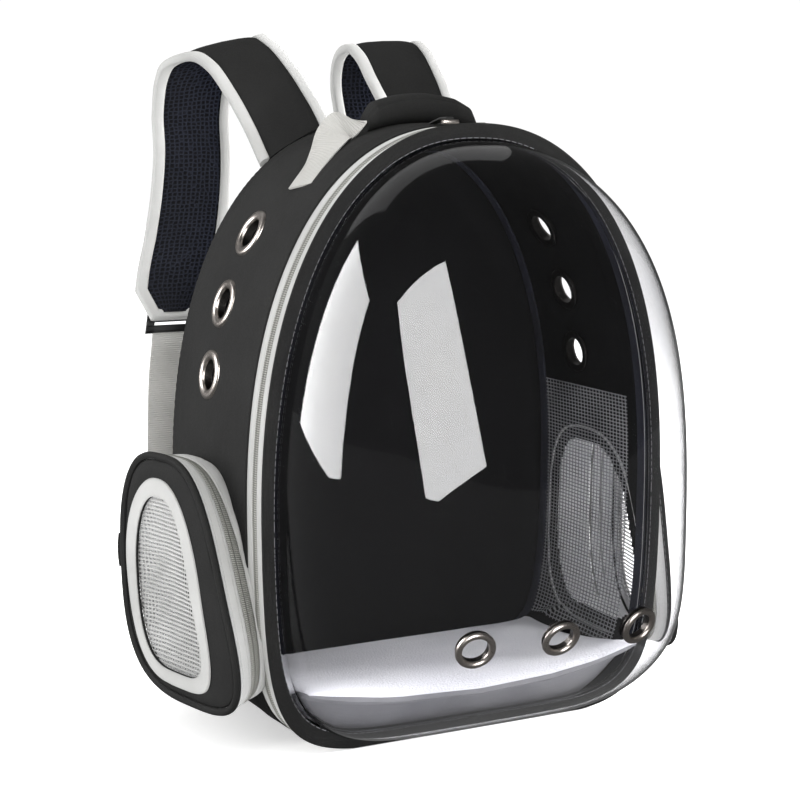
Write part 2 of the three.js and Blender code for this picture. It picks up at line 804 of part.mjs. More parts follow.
// Lowest height inside the body's faceted shell at a distance from its middle
function insideFloorAt(inset, x) {
  const ring = outlineRing(inset, 0);
  let low = beltHeight;
  ring.forEach((point, i) => {
    const next = ring[(i + 1) % ring.length];
    const span = next.x - point.x;
    if ((point.x - x) * (next.x - x) <= 0 && span !== 0) {
      low = Math.min(low, point.z + ((next.z - point.z) * (x - point.x)) / span);
    }
  });
  return low;
}

// One section of the pad: its top rises and curls towards the front, and the lip has only its edge
// thickness where the middle lies on the floor
function padSection(y, isLip, trim) {
  const forward = (padBack - y) / (padBack - padFront);
  const rise = forward ** padRisePower;
  const backHalf = insideHalfWidth(wall + gap, padTop - 2 * padRound);
  const half = backHalf + (padFrontHalf - backHalf) * forward - trim;
  const top = padColumns.map((share) => {
    const curl = padFrontRise + padCurl * Math.abs(share) ** padCurlPower;
    return new THREE.Vector3(share * half, y, padTop + rise * curl - trim);
  });
  const under = padColumns.map((share, i) => {
    const floor = insideFloorAt(wall + gap, share * half);
    const edge = top[i].z + trim - padEdge;
    const wing = rise * Math.max(0, (Math.abs(share) - padWing) / (1 - padWing));
    const height = isLip ? edge : floor + Math.max(0, edge - floor) * wing;
    return new THREE.Vector3(share * half, y, height + trim);
  });
  return [...top, ...under.reverse()];
}

function buildFloorPad() {
  const root = flangeBack + padRimGap;
  addPiece("floor_pad", loft([
    padSection(padFront, true, padRound / 2), padSection(padFront + padRound, true, 0),
    padSection(root, true, 0), padSection(root + padRound, false, 0), padSection(0, false, 0),
    padSection(padBack - padRound, false, 0), padSection(padBack, false, padRound / 2),
  ]), finishes.plush);
}

// Shoulder straps

// A point given in the columns of the strap tables
function strapSpot(sign, row) {
  return new THREE.Vector3(
    sign * row.out * rimHalfWidth, backPlane + row.behind * strapReach, bodyHeight * (1 + row.above));
}

// The line that a strap follows, and the direction of its width along it
function strapLine({ name, sign }) {
  const route = strapRoutes[name];
  const points = route.map((row) => strapSpot(sign, row));
  const directions = route.map((row) => {
    const lean = THREE.MathUtils.degToRad(row.lean);
    const turn = THREE.MathUtils.degToRad(row.turn);
    return new THREE.Vector3(
      Math.cos(lean) * Math.cos(turn), -Math.sin(turn), -sign * Math.sin(lean) * Math.cos(turn));
  });
  const path = new THREE.CatmullRomCurve3(points, false, "centripetal");
  const widths = new THREE.CatmullRomCurve3(directions, false, "centripetal");
  return { path, widths, length: path.getLength() };
}

// Middle, width direction and outer side of a strap at a distance along it
function strapFrame(line, distance) {
  const share = Math.min(1, Math.max(0, distance / line.length));
  const turn = line.path.getUtoTmapping(share);
  const middle = line.path.getPoint(turn);
  const along = line.path.getTangent(turn);
  const width = line.widths.getPoint(turn).normalize();
  const skew = width.dot(along);
  width.divideScalar(Math.sqrt(1 - skew * skew));
  return { middle, width, along, out: width.clone().cross(along).normalize() };
}

function onStrap(line, distance, across, lift) {
  const frame = strapFrame(line, distance);
  return frame.middle.clone().addScaledVector(frame.width, across).addScaledVector(frame.out, lift);
}

// Distances along a strap's straight sides, the same for the pad and its binding
function strapStations(line) {
  const straight = line.length - strapTipChamfer;
  return Array.from({ length: strapSteps }, (_, i) => (straight * i) / (strapSteps - 1));
}

function strapPadSolid(line) {
  const half = strapThickness / 2;
  const inner = strapWidth / 2 - strapBindingWidth - strapSeamGap;
  const rows = strapStations(line).map((distance) => [distance, inner]);
  rows[rows.length - 1][0] -= tipCornerBack + strapSeamGap;
  const end = line.length - strapBindingWidth - strapSeamGap;
  rows.push([end, strapTipWidth / 2 - tipCornerIn - strapSeamGap]);
  return loft(rows.map(([distance, edge]) => (
    [[-edge, -half], [edge, -half], [edge, half], [-edge, half]]
      .map(([across, lift]) => onStrap(line, distance, across, lift)))));
}

// The binding runs down one edge, round the tip and up the other
function strapBindingSolid(line) {
  const half = strapThickness / 2 + strapBindingProud;
  const rows = strapStations(line).map((distance) => (
    { outer: [distance, strapWidth / 2], inner: [distance, strapWidth / 2 - strapBindingWidth] }));
  rows[rows.length - 1].inner[0] -= tipCornerBack;
  rows.push({
    outer: [line.length, strapTipWidth / 2],
    inner: [line.length - strapBindingWidth, strapTipWidth / 2 - tipCornerIn],
  });
  const mirrored = rows.map(({ outer, inner }) => (
    { outer: [outer[0], -outer[1]], inner: [inner[0], -inner[1]] })).reverse();
  return loft([...rows, ...mirrored].map(({ outer, inner }) => [
    onStrap(line, ...outer, -half), onStrap(line, ...inner, -half),
    onStrap(line, ...inner, half), onStrap(line, ...outer, half),
  ]));
}

function ribbon(points, widths, width, thickness) {
  const sections = points.map((point, i) => {
    const before = points[Math.max(0, i - 1)];
    const after = points[Math.min(points.length - 1, i + 1)];
    const along = after.clone().sub(before).normalize();
    const across = widths[i].clone().normalize();
    const skew = across.dot(along);
    across.divideScalar(Math.sqrt(1 - skew * skew));
    const out = across.clone().cross(along).normalize();
    return [[-1, -1], [1, -1], [1, 1], [-1, 1]].map(([u, v]) => point.clone()
      .addScaledVector(across, (u * width) / 2)
      .addScaledVector(out, (v * thickness) / 2));
  });
  return loft(sections);
}

// The adjuster lies on the outer side of the strap's tip
function adjusterFrame(line) {
  const tip = strapFrame(line, line.length);
  const seat = strapThickness / 2 + strapBindingProud + gap;
  const top = -adjuster.overlap;
  const place = (across, down, lift) => tip.middle.clone()
    .addScaledVector(tip.width, across)
    .addScaledVector(tip.along, down)
    .addScaledVector(tip.out, seat + lift);
  return { place, top, bottom: top + adjuster.height };
}

function adjusterSolid(line) {
  const { place, top, bottom } = adjusterFrame(line);
  const box = (half, from, to, low, high) => loft([low, high].map((lift) => [
    place(-half, from, lift), place(half, from, lift), place(half, to, lift), place(-half, to, lift),
  ]));
  const plate = box(adjuster.width / 2, top, bottom, 0, adjuster.thickness);
  const slot = (adjuster.height - 3 * adjuster.bar) / 2;
  const slots = [0, 1].map((row) => {
    const start = top + adjuster.bar + row * (slot + adjuster.bar);
    const half = adjuster.width / 2 - adjuster.bar;
    return box(half, start, start + slot, -slotOvershoot, adjuster.thickness + slotOvershoot);
  });
  return cutAway(plate, slots);
}

function strapWebbingSolid(line, sign) {
  const { place, bottom } = adjusterFrame(line);
  const points = [webbingGap, webbingGap + webbingRun]
    .map((down) => place(0, bottom + down, adjuster.thickness / 2));
  for (const row of webbingRoute) points.push(strapSpot(sign, row));
  const widths = points.map(() => new THREE.Vector3(1, 0, 0));
  return ribbon(points, widths, webbingWidth, webbingThickness);
}

function buildStraps() {
  for (const side of sides) {
    const line = strapLine(side);
    addPiece(`strap_pad_${side.name}`, strapPadSolid(line), finishes.blackMesh);
    addPiece(`strap_binding_${side.name}`, strapBindingSolid(line), finishes.greyTape);
    addPiece(`strap_adjuster_${side.name}`, adjusterSolid(line), finishes.blackPlastic);
    addPiece(`strap_webbing_${side.name}`, strapWebbingSolid(line, side.sign), finishes.greyWebbing);
  }
}

// Handle, lying on the top of the body

// Height of the body's top at a distance from its middle
function bodyTopAt(x) {
  const share = Math.min(1, Math.abs(x) / rimHalfWidth);
  return beltHeight + (bodyHeight - beltHeight) * (1 - share ** archRoundness) ** (1 / archRoundness);
}

function buildGrip() {
  const middle = frontPlane + handleSetback;
  const rings = gripSwell.map(({ along, swell }) => {
    const x = (along * gripLength) / 2;
    const centre = bodyTopAt(x) + gripSeat + (gripHeight / 2) * swell;
    return Array.from({ length: gripSteps }, (_, i) => {
      const turn = (i * 2 * Math.PI) / gripSteps;
      return new THREE.Vector3(
        x,
        middle + (gripDepth / 2) * swell * Math.cos(turn),
        centre + (gripHeight / 2) * swell * Math.sin(turn),
      );
    });
  });
  addPiece("handle_grip", loft(rings), finishes.blackCloth);
}

function handleWebbing(route, run, sign) {
  const seat = handleWebbingThickness / 2 + gap;
  const points = route.map(({ past, behind, off }) => {
    const x = gripLength / 2 + past * run;
    const slope = bodyTopAt(x + 1) - bodyTopAt(x);
    const normal = new THREE.Vector3(-slope, 0, 1).normalize();
    const y = frontPlane + handleSetback + behind * handleWebbingWidth;
    const foot = new THREE.Vector3(x, y, bodyTopAt(x));
    foot.addScaledVector(normal, seat + off * gripHeight);
    foot.x *= sign;
    return foot;
  });
  const widths = route.map(({ width }) => new THREE.Vector3(...width));
  return ribbon(points, widths, handleWebbingWidth, handleWebbingThickness);
}

function buildHandle() {
  buildGrip();
  const right = handleWebbing(handleRoutes.right, handleSeatRun, 1);
  addPiece("handle_webbing_right", right, finishes.greyWebbing);
  const tail = handleWebbing(handleRoutes.tail, handleTailRun, -1);
  addPiece("handle_webbing_tail", tail, finishes.greyWebbing);
}

// The slider rides on the zip near the top of the arch, and its pull lies back over the gusset
function buildSlider() {
  const middle = (chainBegin + chainFinish) / 2;
  const foot = bodyTopAt(sliderAlong) + chainProud + gap;
  const crown = foot + slider.height;
  const ring = (z, inset) => {
    const half = { x: slider.length / 2 - inset, y: slider.width / 2 - inset };
    return [[-1, -1], [1, -1], [1, 1], [-1, 1]].map(([u, v]) => (
      new THREE.Vector3(sliderAlong + u * half.x, middle + v * half.y, z)));
  };
  const rings = [ring(foot, 0), ring(crown - slider.chamfer, 0), ring(crown, slider.chamfer)];
  addPiece("main_zip_slider", loft(rings), finishes.blackPlastic);
  const lift = gap + pull.thickness / 2;
  const rest = bodyTopAt(sliderAlong) + lift + gap;
  const points = [
    new THREE.Vector3(sliderAlong, middle, crown + lift),
    new THREE.Vector3(sliderAlong, middle + slider.width, crown + lift),
    new THREE.Vector3(sliderAlong, middle + pull.length, rest),
  ];
  const widths = points.map(() => new THREE.Vector3(1, 0, 0));
  addPiece("main_zip_pull", ribbon(points, widths, pull.width, pull.thickness), finishes.blackPlastic);
}

buildGusset();
buildBack();
buildDoorRim();
buildDome();
buildVentRings();
buildPods();
buildSideNets();
buildFloorPad();
buildStraps();
buildHandle();
buildSlider();

export default group;
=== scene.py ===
"""Bubble pet carrier backpack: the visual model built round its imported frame. Units are metres."""
import json
import logging
import math
from dataclasses import dataclass, field
from enum import Enum
from typing import Callable, Iterable, Sequence

import bmesh
import bpy
import numpy as np
from mathutils import Matrix, Quaternion, Vector, noise

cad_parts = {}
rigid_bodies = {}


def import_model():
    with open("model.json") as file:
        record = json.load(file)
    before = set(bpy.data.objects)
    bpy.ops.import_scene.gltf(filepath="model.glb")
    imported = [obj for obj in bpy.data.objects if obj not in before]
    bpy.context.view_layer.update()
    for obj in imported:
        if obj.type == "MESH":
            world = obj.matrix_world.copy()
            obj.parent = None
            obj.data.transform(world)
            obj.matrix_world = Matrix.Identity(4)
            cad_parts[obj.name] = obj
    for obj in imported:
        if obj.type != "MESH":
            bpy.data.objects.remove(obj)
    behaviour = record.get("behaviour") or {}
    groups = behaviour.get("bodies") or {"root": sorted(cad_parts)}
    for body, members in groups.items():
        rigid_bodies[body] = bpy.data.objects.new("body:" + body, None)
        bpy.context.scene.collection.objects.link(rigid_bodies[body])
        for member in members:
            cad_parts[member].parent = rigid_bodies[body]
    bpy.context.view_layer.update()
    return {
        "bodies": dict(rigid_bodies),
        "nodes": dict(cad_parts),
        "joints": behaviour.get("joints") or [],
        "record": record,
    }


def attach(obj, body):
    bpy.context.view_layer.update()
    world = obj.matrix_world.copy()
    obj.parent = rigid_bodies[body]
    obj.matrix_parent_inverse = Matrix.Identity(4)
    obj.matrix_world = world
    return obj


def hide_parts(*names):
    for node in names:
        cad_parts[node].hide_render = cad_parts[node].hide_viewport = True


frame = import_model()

LOG = logging.getLogger("carrier")
GAP = 0.0003
TURN = 2 * math.pi

Place = Callable[[float, float], Vector]


class Side(Enum):
    """The two sides of the body, seen from the dome."""

    LEFT = -1
    RIGHT = 1

    @property
    def label(self) -> str:
        """Name used in piece names."""
        return self.name.lower()


# Shared node groups and finishes


class Graph:
    """A node tree being written, with short calls for the nodes used here."""

    def __init__(self, tree: bpy.types.NodeTree) -> None:
        """Keeps the tree. Args: tree: the tree to write into."""
        self.tree = tree

    def node(self, kind: str, **values) -> bpy.types.Node:
        """Adds a node.

        Args:
            kind: node type name.
            **values: node properties to set.

        Returns:
            The new node.
        """
        made = self.tree.nodes.new(kind)
        for name, value in values.items():
            setattr(made, name, value)
        return made

    def join(self, source, target) -> None:
        """Links a socket, or sets a plain value. Args: source: socket or value. target: input socket."""
        if isinstance(source, bpy.types.NodeSocket):
            self.tree.links.new(source, target)
        else:
            target.default_value = source

    def math(self, operation: str, *inputs) -> bpy.types.NodeSocket:
        """Adds a Math node.

        Args:
            operation: its operation.
            *inputs: sockets or numbers for its inputs.

        Returns:
            Its value socket.
        """
        made = self.node("ShaderNodeMath", operation=operation)
        for value, socket in zip(inputs, made.inputs):
            self.join(value, socket)
        return made.outputs[0]

    def ramp(self, value, low: float, high: float, start: float, end: float) -> bpy.types.NodeSocket:
        """Maps low..high to start..end with a soft step.

        Args:
            value: socket to map.
            low: value that gives start.
            high: value that gives end.
            start: result at low.
            end: result at high.

        Returns:
            The mapped value.
        """
        made = self.node("ShaderNodeMapRange", interpolation_type="SMOOTHSTEP")
        for name, amount in (("Value", value), ("From Min", low), ("From Max", high), ("To Min", start),
                             ("To Max", end)):
            self.join(amount, made.inputs[name])
        return made.outputs["Result"]

    def noise(self, vector, scale: float, detail: float = 3.0) -> bpy.types.NodeSocket:
        """Adds a noise texture and returns its value. Args: vector, scale, detail: its inputs."""
        made = self.node("ShaderNodeTexNoise")
        self.join(vector, made.inputs["Vector"])
        made.inputs["Scale"].default_value = scale
        made.inputs["Detail"].default_value = detail
        return made.outputs["Fac"]

    def mix(self, share, low: Sequence[float], high: Sequence[float]) -> bpy.types.NodeSocket:
        """Mixes two colours.

        Args:
            share: share of the second colour.
            low: first colour.
            high: second colour.

        Returns:
            The mixed colour.
        """
        made = self.node("ShaderNodeMix", data_type="RGBA")
        self.join(share, made.inputs[0])
        for value, socket in ((low, made.inputs[6]), (high, made.inputs[7])):
            self.join(value if isinstance(value, bpy.types.NodeSocket) else (*value, 1.0), socket)
        return made.outputs[2]


def new_group(name: str, inputs: dict[str, float | None], outputs: Iterable[str]) -> tuple[Graph, dict, dict]:
    """Starts a shared node group.

    Args:
        name: the group's name.
        inputs: input names and default values, None for a vector.
        outputs: names of its value outputs.

    Returns:
        The graph, its input sockets by name and its output sockets by name.
    """
    tree = bpy.data.node_groups.new(name, "ShaderNodeTree")
    for label, value in inputs.items():
        kind = "NodeSocketVector" if value is None else "NodeSocketFloat"
        socket = tree.interface.new_socket(label, in_out="INPUT", socket_type=kind)
        if value is not None:
            socket.default_value = value
    for label in outputs:
        tree.interface.new_socket(label, in_out="OUTPUT", socket_type="NodeSocketFloat")
    graph = Graph(tree)
    source = graph.node("NodeGroupInput")
    target = graph.node("NodeGroupOutput")
    return graph, {s.name: s for s in source.outputs if s.name}, {s.name: s for s in target.inputs if s.name}


class Effects:
    """The node groups that several finishes share."""

    def __init__(self) -> None:
        """Makes every group once."""
        self.weave = self._weave()
        self.tone = self._tone()
        self.stitch = self._stitch()
        self.net = self._net()
        self.ribs = self._ribs()

    @staticmethod
    def _weave() -> bpy.types.NodeTree:
        """Plain weave: threads that pass over each other in turn."""
        graph, source, target = new_group("weave", {"Vector": None, "Pitch": 0.0006}, ("Height",))
        split = graph.node("ShaderNodeSeparateXYZ")
        graph.join(source["Vector"], split.inputs[0])
        turns = [graph.math("DIVIDE", graph.math("MULTIPLY", split.outputs[i], math.pi),
                            source["Pitch"]) for i in (0, 1)]
        across, along = (graph.math("SINE", turn) for turn in turns)
        over = graph.ramp(graph.math("MULTIPLY", across, along), -0.3, 0.3, 0.0, 1.0)
        warp = graph.math("ABSOLUTE", across)
        weft = graph.math("ABSOLUTE", along)
        blend = graph.node("ShaderNodeMix", data_type="FLOAT")
        for value, socket in ((over, blend.inputs[0]), (warp, blend.inputs[2]), (weft, blend.inputs[3])):
            graph.join(value, socket)
        graph.join(blend.outputs[0], target["Height"])
        return graph.tree

    @staticmethod
    def _tone() -> bpy.types.NodeTree:
        """Slow and fine change over a surface, for colour and roughness."""
        graph, source, target = new_group("tone", {"Vector": None, "Fine": 900.0}, ("Slow", "Fine"))
        slow = graph.noise(source["Vector"], 18.0, 4.0)
        graph.join(graph.ramp(slow, 0.3, 0.7, 0.0, 1.0), target["Slow"])
        fine = graph.node("ShaderNodeTexNoise")
        graph.join(source["Vector"], fine.inputs["Vector"])
        graph.join(source["Fine"], fine.inputs["Scale"])
        graph.join(fine.outputs["Fac"], target["Fine"])
        return graph.tree

    @staticmethod
    def _stitch() -> bpy.types.NodeTree:
        """A row of stitches along U at a V offset: 1 on the thread."""
        values = {"Vector": None, "Offset": 0.0, "Pitch": 0.003, "Width": 0.0007}
        graph, source, target = new_group("stitch", values, ("Mask",))
        split = graph.node("ShaderNodeSeparateXYZ")
        graph.join(source["Vector"], split.inputs[0])
        off = graph.math("ABSOLUTE", graph.math("SUBTRACT", split.outputs[1], source["Offset"]))
        line = graph.ramp(graph.math("DIVIDE", off, source["Width"]), 0.3, 0.7, 1.0, 0.0)
        share = graph.math("FRACT", graph.math("DIVIDE", split.outputs[0], source["Pitch"]))
        dash = graph.ramp(graph.math("ABSOLUTE", graph.math("SUBTRACT", share, 0.5)), 0.3, 0.4, 1.0, 0.0)
        graph.join(graph.math("MULTIPLY", line, dash), target["Mask"])
        return graph.tree

    @staticmethod
    def _net() -> bpy.types.NodeTree:
        """Square net: 1 on a thread, with its round height."""
        values = {"Vector": None, "Pitch U": 0.002, "Pitch V": 0.002, "Thread U": 0.3, "Thread V": 0.3}
        graph, source, target = new_group("net", values, ("Mask", "Height"))
        split = graph.node("ShaderNodeSeparateXYZ")
        graph.join(source["Vector"], split.inputs[0])
        threads = []
        for index, way in enumerate("UV"):
            share = graph.math("FRACT", graph.math("DIVIDE", split.outputs[index], source["Pitch " + way]))
            near = graph.math("ABSOLUTE", graph.math("SUBTRACT", share, 0.5))
            threads.append(graph.math("DIVIDE", near, graph.math("MULTIPLY", source["Thread " + way], 0.5)))
        nearest = graph.math("MINIMUM", *threads)
        graph.join(graph.math("LESS_THAN", nearest, 1.0), target["Mask"])
        graph.join(graph.ramp(nearest, 0.0, 1.0, 1.0, 0.0), target["Height"])
        return graph.tree

    @staticmethod
    def _ribs() -> bpy.types.NodeTree:
        """Round ribs across U."""
        graph, source, target = new_group("ribs", {"Vector": None, "Pitch": 0.0015}, ("Height",))
        split = graph.node("ShaderNodeSeparateXYZ")
        graph.join(source["Vector"], split.inputs[0])
        turn = graph.math("DIVIDE", graph.math("MULTIPLY", split.outputs[0], math.pi), source["Pitch"])
        graph.join(graph.math("ABSOLUTE", graph.math("SINE", turn)), target["Height"])
        return graph.tree


@dataclass(frozen=True)
class Stitching:
    """Rows of stitches on a finish: V offsets in metres, thread colour and pitch."""

    offsets: tuple[float, ...] = ()
    colour: tuple[float, float, float] = (0.7, 0.7, 0.7)
    pitch: float = 0.003
    width: float = 0.0008


class FinishBuilder:
    """Common start of every material: shader, UV in metres and shared effects."""

    def __init__(self, name: str, effects: Effects) -> None:
        """Makes an empty material. Args: name: its name. effects: shared groups."""
        self.material = bpy.data.materials.new(name)
        self.material.use_nodes = True
        self.effects = effects
        self.graph = Graph(self.material.node_tree)
        self.shader = self.material.node_tree.nodes["Principled BSDF"]
        self.uv = self.graph.node("ShaderNodeUVMap", uv_map="UVMap").outputs[0]
        self.space = self.graph.node("ShaderNodeTexCoord").outputs["Object"]

    def group(self, tree: bpy.types.NodeTree, vector, **values) -> bpy.types.Node:
        """Places a shared group.

        Args:
            tree: the group.
            vector: socket for its Vector input.
            **values: its other inputs, with _ for a space.

        Returns:
            The group node.
        """
        made = self.graph.node("ShaderNodeGroup", node_tree=tree)
        self.graph.join(vector, made.inputs["Vector"])
        for label, value in values.items():
            self.graph.join(value, made.inputs[label.replace("_", " ")])
        return made

    def bump(self, height, distance: float, strength: float = 1.0, base=None) -> bpy.types.NodeSocket:
        """Adds a Bump node, on top of base if given.

        Args: height, distance, strength, base. Returns: normal."""
        made = self.graph.node("ShaderNodeBump")
        self.graph.join(height, made.inputs["Height"])
        made.inputs["Distance"].default_value = distance
        made.inputs["Strength"].default_value = strength
        if base is not None:
            self.graph.join(base, made.inputs["Normal"])
        return made.outputs[0]

    def stitches(self, stitching: Stitching) -> bpy.types.NodeSocket | None:
        """Mask of every stitch row, or None. Args: stitching: the rows."""
        mask = None
        for offset in stitching.offsets:
            row = self.group(self.effects.stitch, self.uv, Offset=offset, Pitch=stitching.pitch,
                             Width=stitching.width)
            mask = row.outputs[0] if mask is None else self.graph.math("MAXIMUM", mask, row.outputs[0])
        return mask

    def set(self, **values) -> None:
        """Sets or links shader inputs by name, with _ for a space. Args: **values: sockets or values."""
        for label, value in values.items():
            self.graph.join(value, self.shader.inputs[label.replace("_", " ")])


@dataclass(frozen=True)
class Cloth:
    """Woven cloth, tape or webbing."""

    name: str
    dark: tuple[float, float, float]
    light: tuple[float, float, float]
    pitch: float = 0.0006
    depth: float = 0.00008
    roughness: float = 0.85
    specular: float = 0.25
    sheen: float = 0.0
    rib: float = 0.0
    crumple: float = 0.0
    stitching: Stitching = field(default_factory=Stitching)

    def make(self, effects: Effects) -> bpy.types.Material:
        """Builds the material. Args: effects: shared groups. Returns: the material."""
        build = FinishBuilder(self.name, effects)
        graph = build.graph
        tone = build.group(effects.tone, build.space)
        share = graph.math("ADD", graph.math("MULTIPLY", tone.outputs[0], 0.6),
                           graph.math("MULTIPLY", tone.outputs[1], 0.4))
        colour = graph.mix(share, self.dark, self.light)
        normal = None
        if self.crumple:
            normal = build.bump(graph.noise(build.space, 45.0, 4.0), self.crumple, 1.0)
        height = build.group(effects.weave, build.uv, Pitch=self.pitch).outputs[0]
        if self.rib:
            height = build.group(effects.ribs, build.uv, Pitch=self.rib).outputs[0]
        normal = build.bump(height, self.depth, 1.0, normal)
        rough = graph.ramp(tone.outputs[1], 0.2, 0.8, self.roughness - 0.08, min(1.0, self.roughness + 0.08))
        mask = build.stitches(self.stitching)
        if mask is not None:
            colour = graph.mix(mask, colour, self.stitching.colour)
            normal = build.bump(mask, 0.0004, 0.8, normal)
        build.set(Base_Color=colour, Roughness=rough, Normal=normal)
        build.set(Specular_IOR_Level=self.specular, Sheen_Weight=self.sheen, Sheen_Roughness=0.4)
        return build.material


@dataclass(frozen=True)
class SpacerMesh:
    """Padded mesh with honeycomb dimples; the dimples are painted darker as shade."""

    name: str = "spacer_mesh"
    cell: float = 0.0034
    dark: tuple[float, float, float] = (0.0015, 0.0018, 0.0035)
    light: tuple[float, float, float] = (0.013, 0.015, 0.024)

    def make(self, effects: Effects) -> bpy.types.Material:
        """Builds the material. Args: effects: shared groups. Returns: the material."""
        build = FinishBuilder(self.name, effects)
        graph = build.graph
        cells = graph.node("ShaderNodeTexVoronoi", feature="DISTANCE_TO_EDGE")
        graph.join(build.uv, cells.inputs["Vector"])
        cells.inputs["Scale"].default_value = 1 / self.cell
        cells.inputs["Randomness"].default_value = 0.35
        thread = graph.ramp(cells.outputs["Distance"], 0.06, 0.3, 1.0, 0.0)
        tone = build.group(effects.tone, build.space)
        # Painted shade: the cell hollows are coloured darker than the threads, standing in for the shade in the
        # dimples; the honeycomb layout is the mesh's own.
        lit = graph.math("MULTIPLY", thread, graph.ramp(tone.outputs[0], 0.0, 1.0, 0.7, 1.0))
        build.set(Base_Color=graph.mix(lit, self.dark, self.light), Roughness=0.9)
        build.set(Normal=build.bump(thread, 0.0009), Specular_IOR_Level=0.15)
        return build.material


@dataclass(frozen=True)
class NetCloth:
    """Open net: threads stay, cells are cut away."""

    name: str
    dark: tuple[float, float, float]
    light: tuple[float, float, float]
    pitch_u: float
    pitch_v: float
    thread_u: float
    thread_v: float

    def make(self, effects: Effects) -> bpy.types.Material:
        """Builds the material. Args: effects: shared groups. Returns: the material."""
        build = FinishBuilder(self.name, effects)
        graph = build.graph
        net = build.group(effects.net, build.uv, Pitch_U=self.pitch_u, Pitch_V=self.pitch_v,
                          Thread_U=self.thread_u, Thread_V=self.thread_v)
        tone = build.group(effects.tone, build.space)
        build.set(Base_Color=graph.mix(tone.outputs[0], self.dark, self.light), Alpha=net.outputs["Mask"])
        build.set(Normal=build.bump(net.outputs["Height"], 0.0003), Roughness=0.7, Specular_IOR_Level=0.3)
        return build.material


@dataclass(frozen=True)
class ZipCoil:
    """Nylon coil of a closed zip: teeth across, a groove along the middle, with shade painted into the gaps and
    the groove.
    """

    name: str
    width: float
    dark: tuple[float, float, float] = (0.075, 0.075, 0.065)
    light: tuple[float, float, float] = (0.36, 0.36, 0.33)
    tooth: float = 0.0015

    def make(self, effects: Effects) -> bpy.types.Material:
        """Builds the material. Args: effects: shared groups. Returns: the material."""
        build = FinishBuilder(self.name, effects)
        graph = build.graph
        teeth = build.group(effects.ribs, build.uv, Pitch=self.tooth).outputs[0]
        split = graph.node("ShaderNodeSeparateXYZ")
        graph.join(build.uv, split.inputs[0])
        off = graph.math("ABSOLUTE", graph.math("SUBTRACT", split.outputs[1], self.width / 2))
        groove = graph.ramp(off, 0.0, self.width * 0.12, 0.0, 1.0)
        height = graph.math("MULTIPLY", teeth, groove)
        # Painted shade: the colour follows the relief, darker in the gaps between teeth and in the middle
        # groove.
        build.set(Base_Color=graph.mix(height, self.dark, self.light), Roughness=0.5)
        build.set(Normal=build.bump(height, 0.0006), Specular_IOR_Level=0.4)
        return build.material


@dataclass(frozen=True)
class Metal:
    """Polished gunmetal plating with faint handling marks."""

    name: str = "gunmetal"
    dark: tuple[float, float, float] = (0.34, 0.31, 0.285)
    light: tuple[float, float, float] = (0.5, 0.46, 0.43)

    def make(self, effects: Effects) -> bpy.types.Material:
        """Builds the material. Args: effects: shared groups. Returns: the material."""
        build = FinishBuilder(self.name, effects)
        graph = build.graph
        tone = build.group(effects.tone, build.space, Fine=2500.0)
        build.set(Base_Color=graph.mix(tone.outputs[0], self.dark, self.light), Metallic=1.0)
        build.set(Roughness=graph.ramp(tone.outputs[1], 0.2, 0.8, 0.24, 0.38))
        build.set(Normal=build.bump(tone.outputs[1], 0.00002))
        return build.material


@dataclass(frozen=True)
class ClearPlastic:
    """Clear moulded sheet with a slow ripple. Light for the inside passes straight through."""

    name: str = "clear_plastic"
    tint: tuple[float, float, float] = (0.965, 0.965, 0.985)
    ripple: float = 0.0002

    def make(self, effects: Effects) -> bpy.types.Material:
        """Builds the material. Args: effects: shared groups. Returns: the material."""
        build = FinishBuilder(self.name, effects)
        graph = build.graph
        slow = graph.noise(build.space, 9.0, 1.0)
        tone = build.group(effects.tone, build.space, Fine=60.0)
        build.set(Base_Color=graph.mix(tone.outputs[0], self.tint, (0.985, 0.985, 0.99)))
        build.set(Roughness=graph.ramp(tone.outputs[1], 0.45, 0.8, 0.0, 0.04), IOR=1.46,
                  Transmission_Weight=1.0)
        build.set(Normal=build.bump(slow, self.ripple))
        out = build.material.node_tree.nodes["Material Output"]
        path = graph.node("ShaderNodeLightPath")
        clear = graph.node("ShaderNodeBsdfTransparent")
        clear.inputs["Color"].default_value = (0.93, 0.93, 0.94, 1.0)
        blend = graph.node("ShaderNodeMixShader")
        passing = graph.math("MAXIMUM", path.outputs["Is Shadow Ray"], path.outputs["Is Diffuse Ray"])
        graph.join(passing, blend.inputs[0])
        graph.join(build.shader.outputs[0], blend.inputs[1])
        graph.join(clear.outputs[0], blend.inputs[2])
        graph.join(blend.outputs[0], out.inputs["Surface"])
        return build.material


@dataclass(frozen=True)
class Plush:
    """Short white plush."""

    name: str = "plush"
    dark: tuple[float, float, float] = (0.66, 0.66, 0.7)
    light: tuple[float, float, float] = (0.84, 0.84, 0.87)

    def make(self, effects: Effects) -> bpy.types.Material:
        """Builds the material. Args: effects: shared groups. Returns: the material."""
        build = FinishBuilder(self.name, effects)
        graph = build.graph
        tone = build.group(effects.tone, build.space, Fine=650.0)
        share = graph.math("MULTIPLY", graph.math("ADD", tone.outputs[0], tone.outputs[1]), 0.5)
        build.set(Base_Color=graph.mix(share, self.dark, self.light), Roughness=0.95)
        build.set(Normal=build.bump(tone.outputs[1], 0.0012), Sheen_Weight=0.3, Specular_IOR_Level=0.1)
        return build.material


@dataclass(frozen=True)
class MouldedPlastic:
    """Black moulded plastic with a fine matt grain."""

    name: str = "black_plastic"
    dark: tuple[float, float, float] = (0.006, 0.006, 0.006)
    light: tuple[float, float, float] = (0.016, 0.016, 0.016)

    def make(self, effects: Effects) -> bpy.types.Material:
        """Builds the material. Args: effects: shared groups. Returns: the material."""
        build = FinishBuilder(self.name, effects)
        graph = build.graph
        tone = build.group(effects.tone, build.space, Fine=1800.0)
        build.set(Base_Color=graph.mix(tone.outputs[0], self.dark, self.light))
        build.set(Roughness=graph.ramp(tone.outputs[1], 0.2, 0.8, 0.32, 0.5))
        build.set(Normal=build.bump(tone.outputs[1], 0.00005))
        return build.material


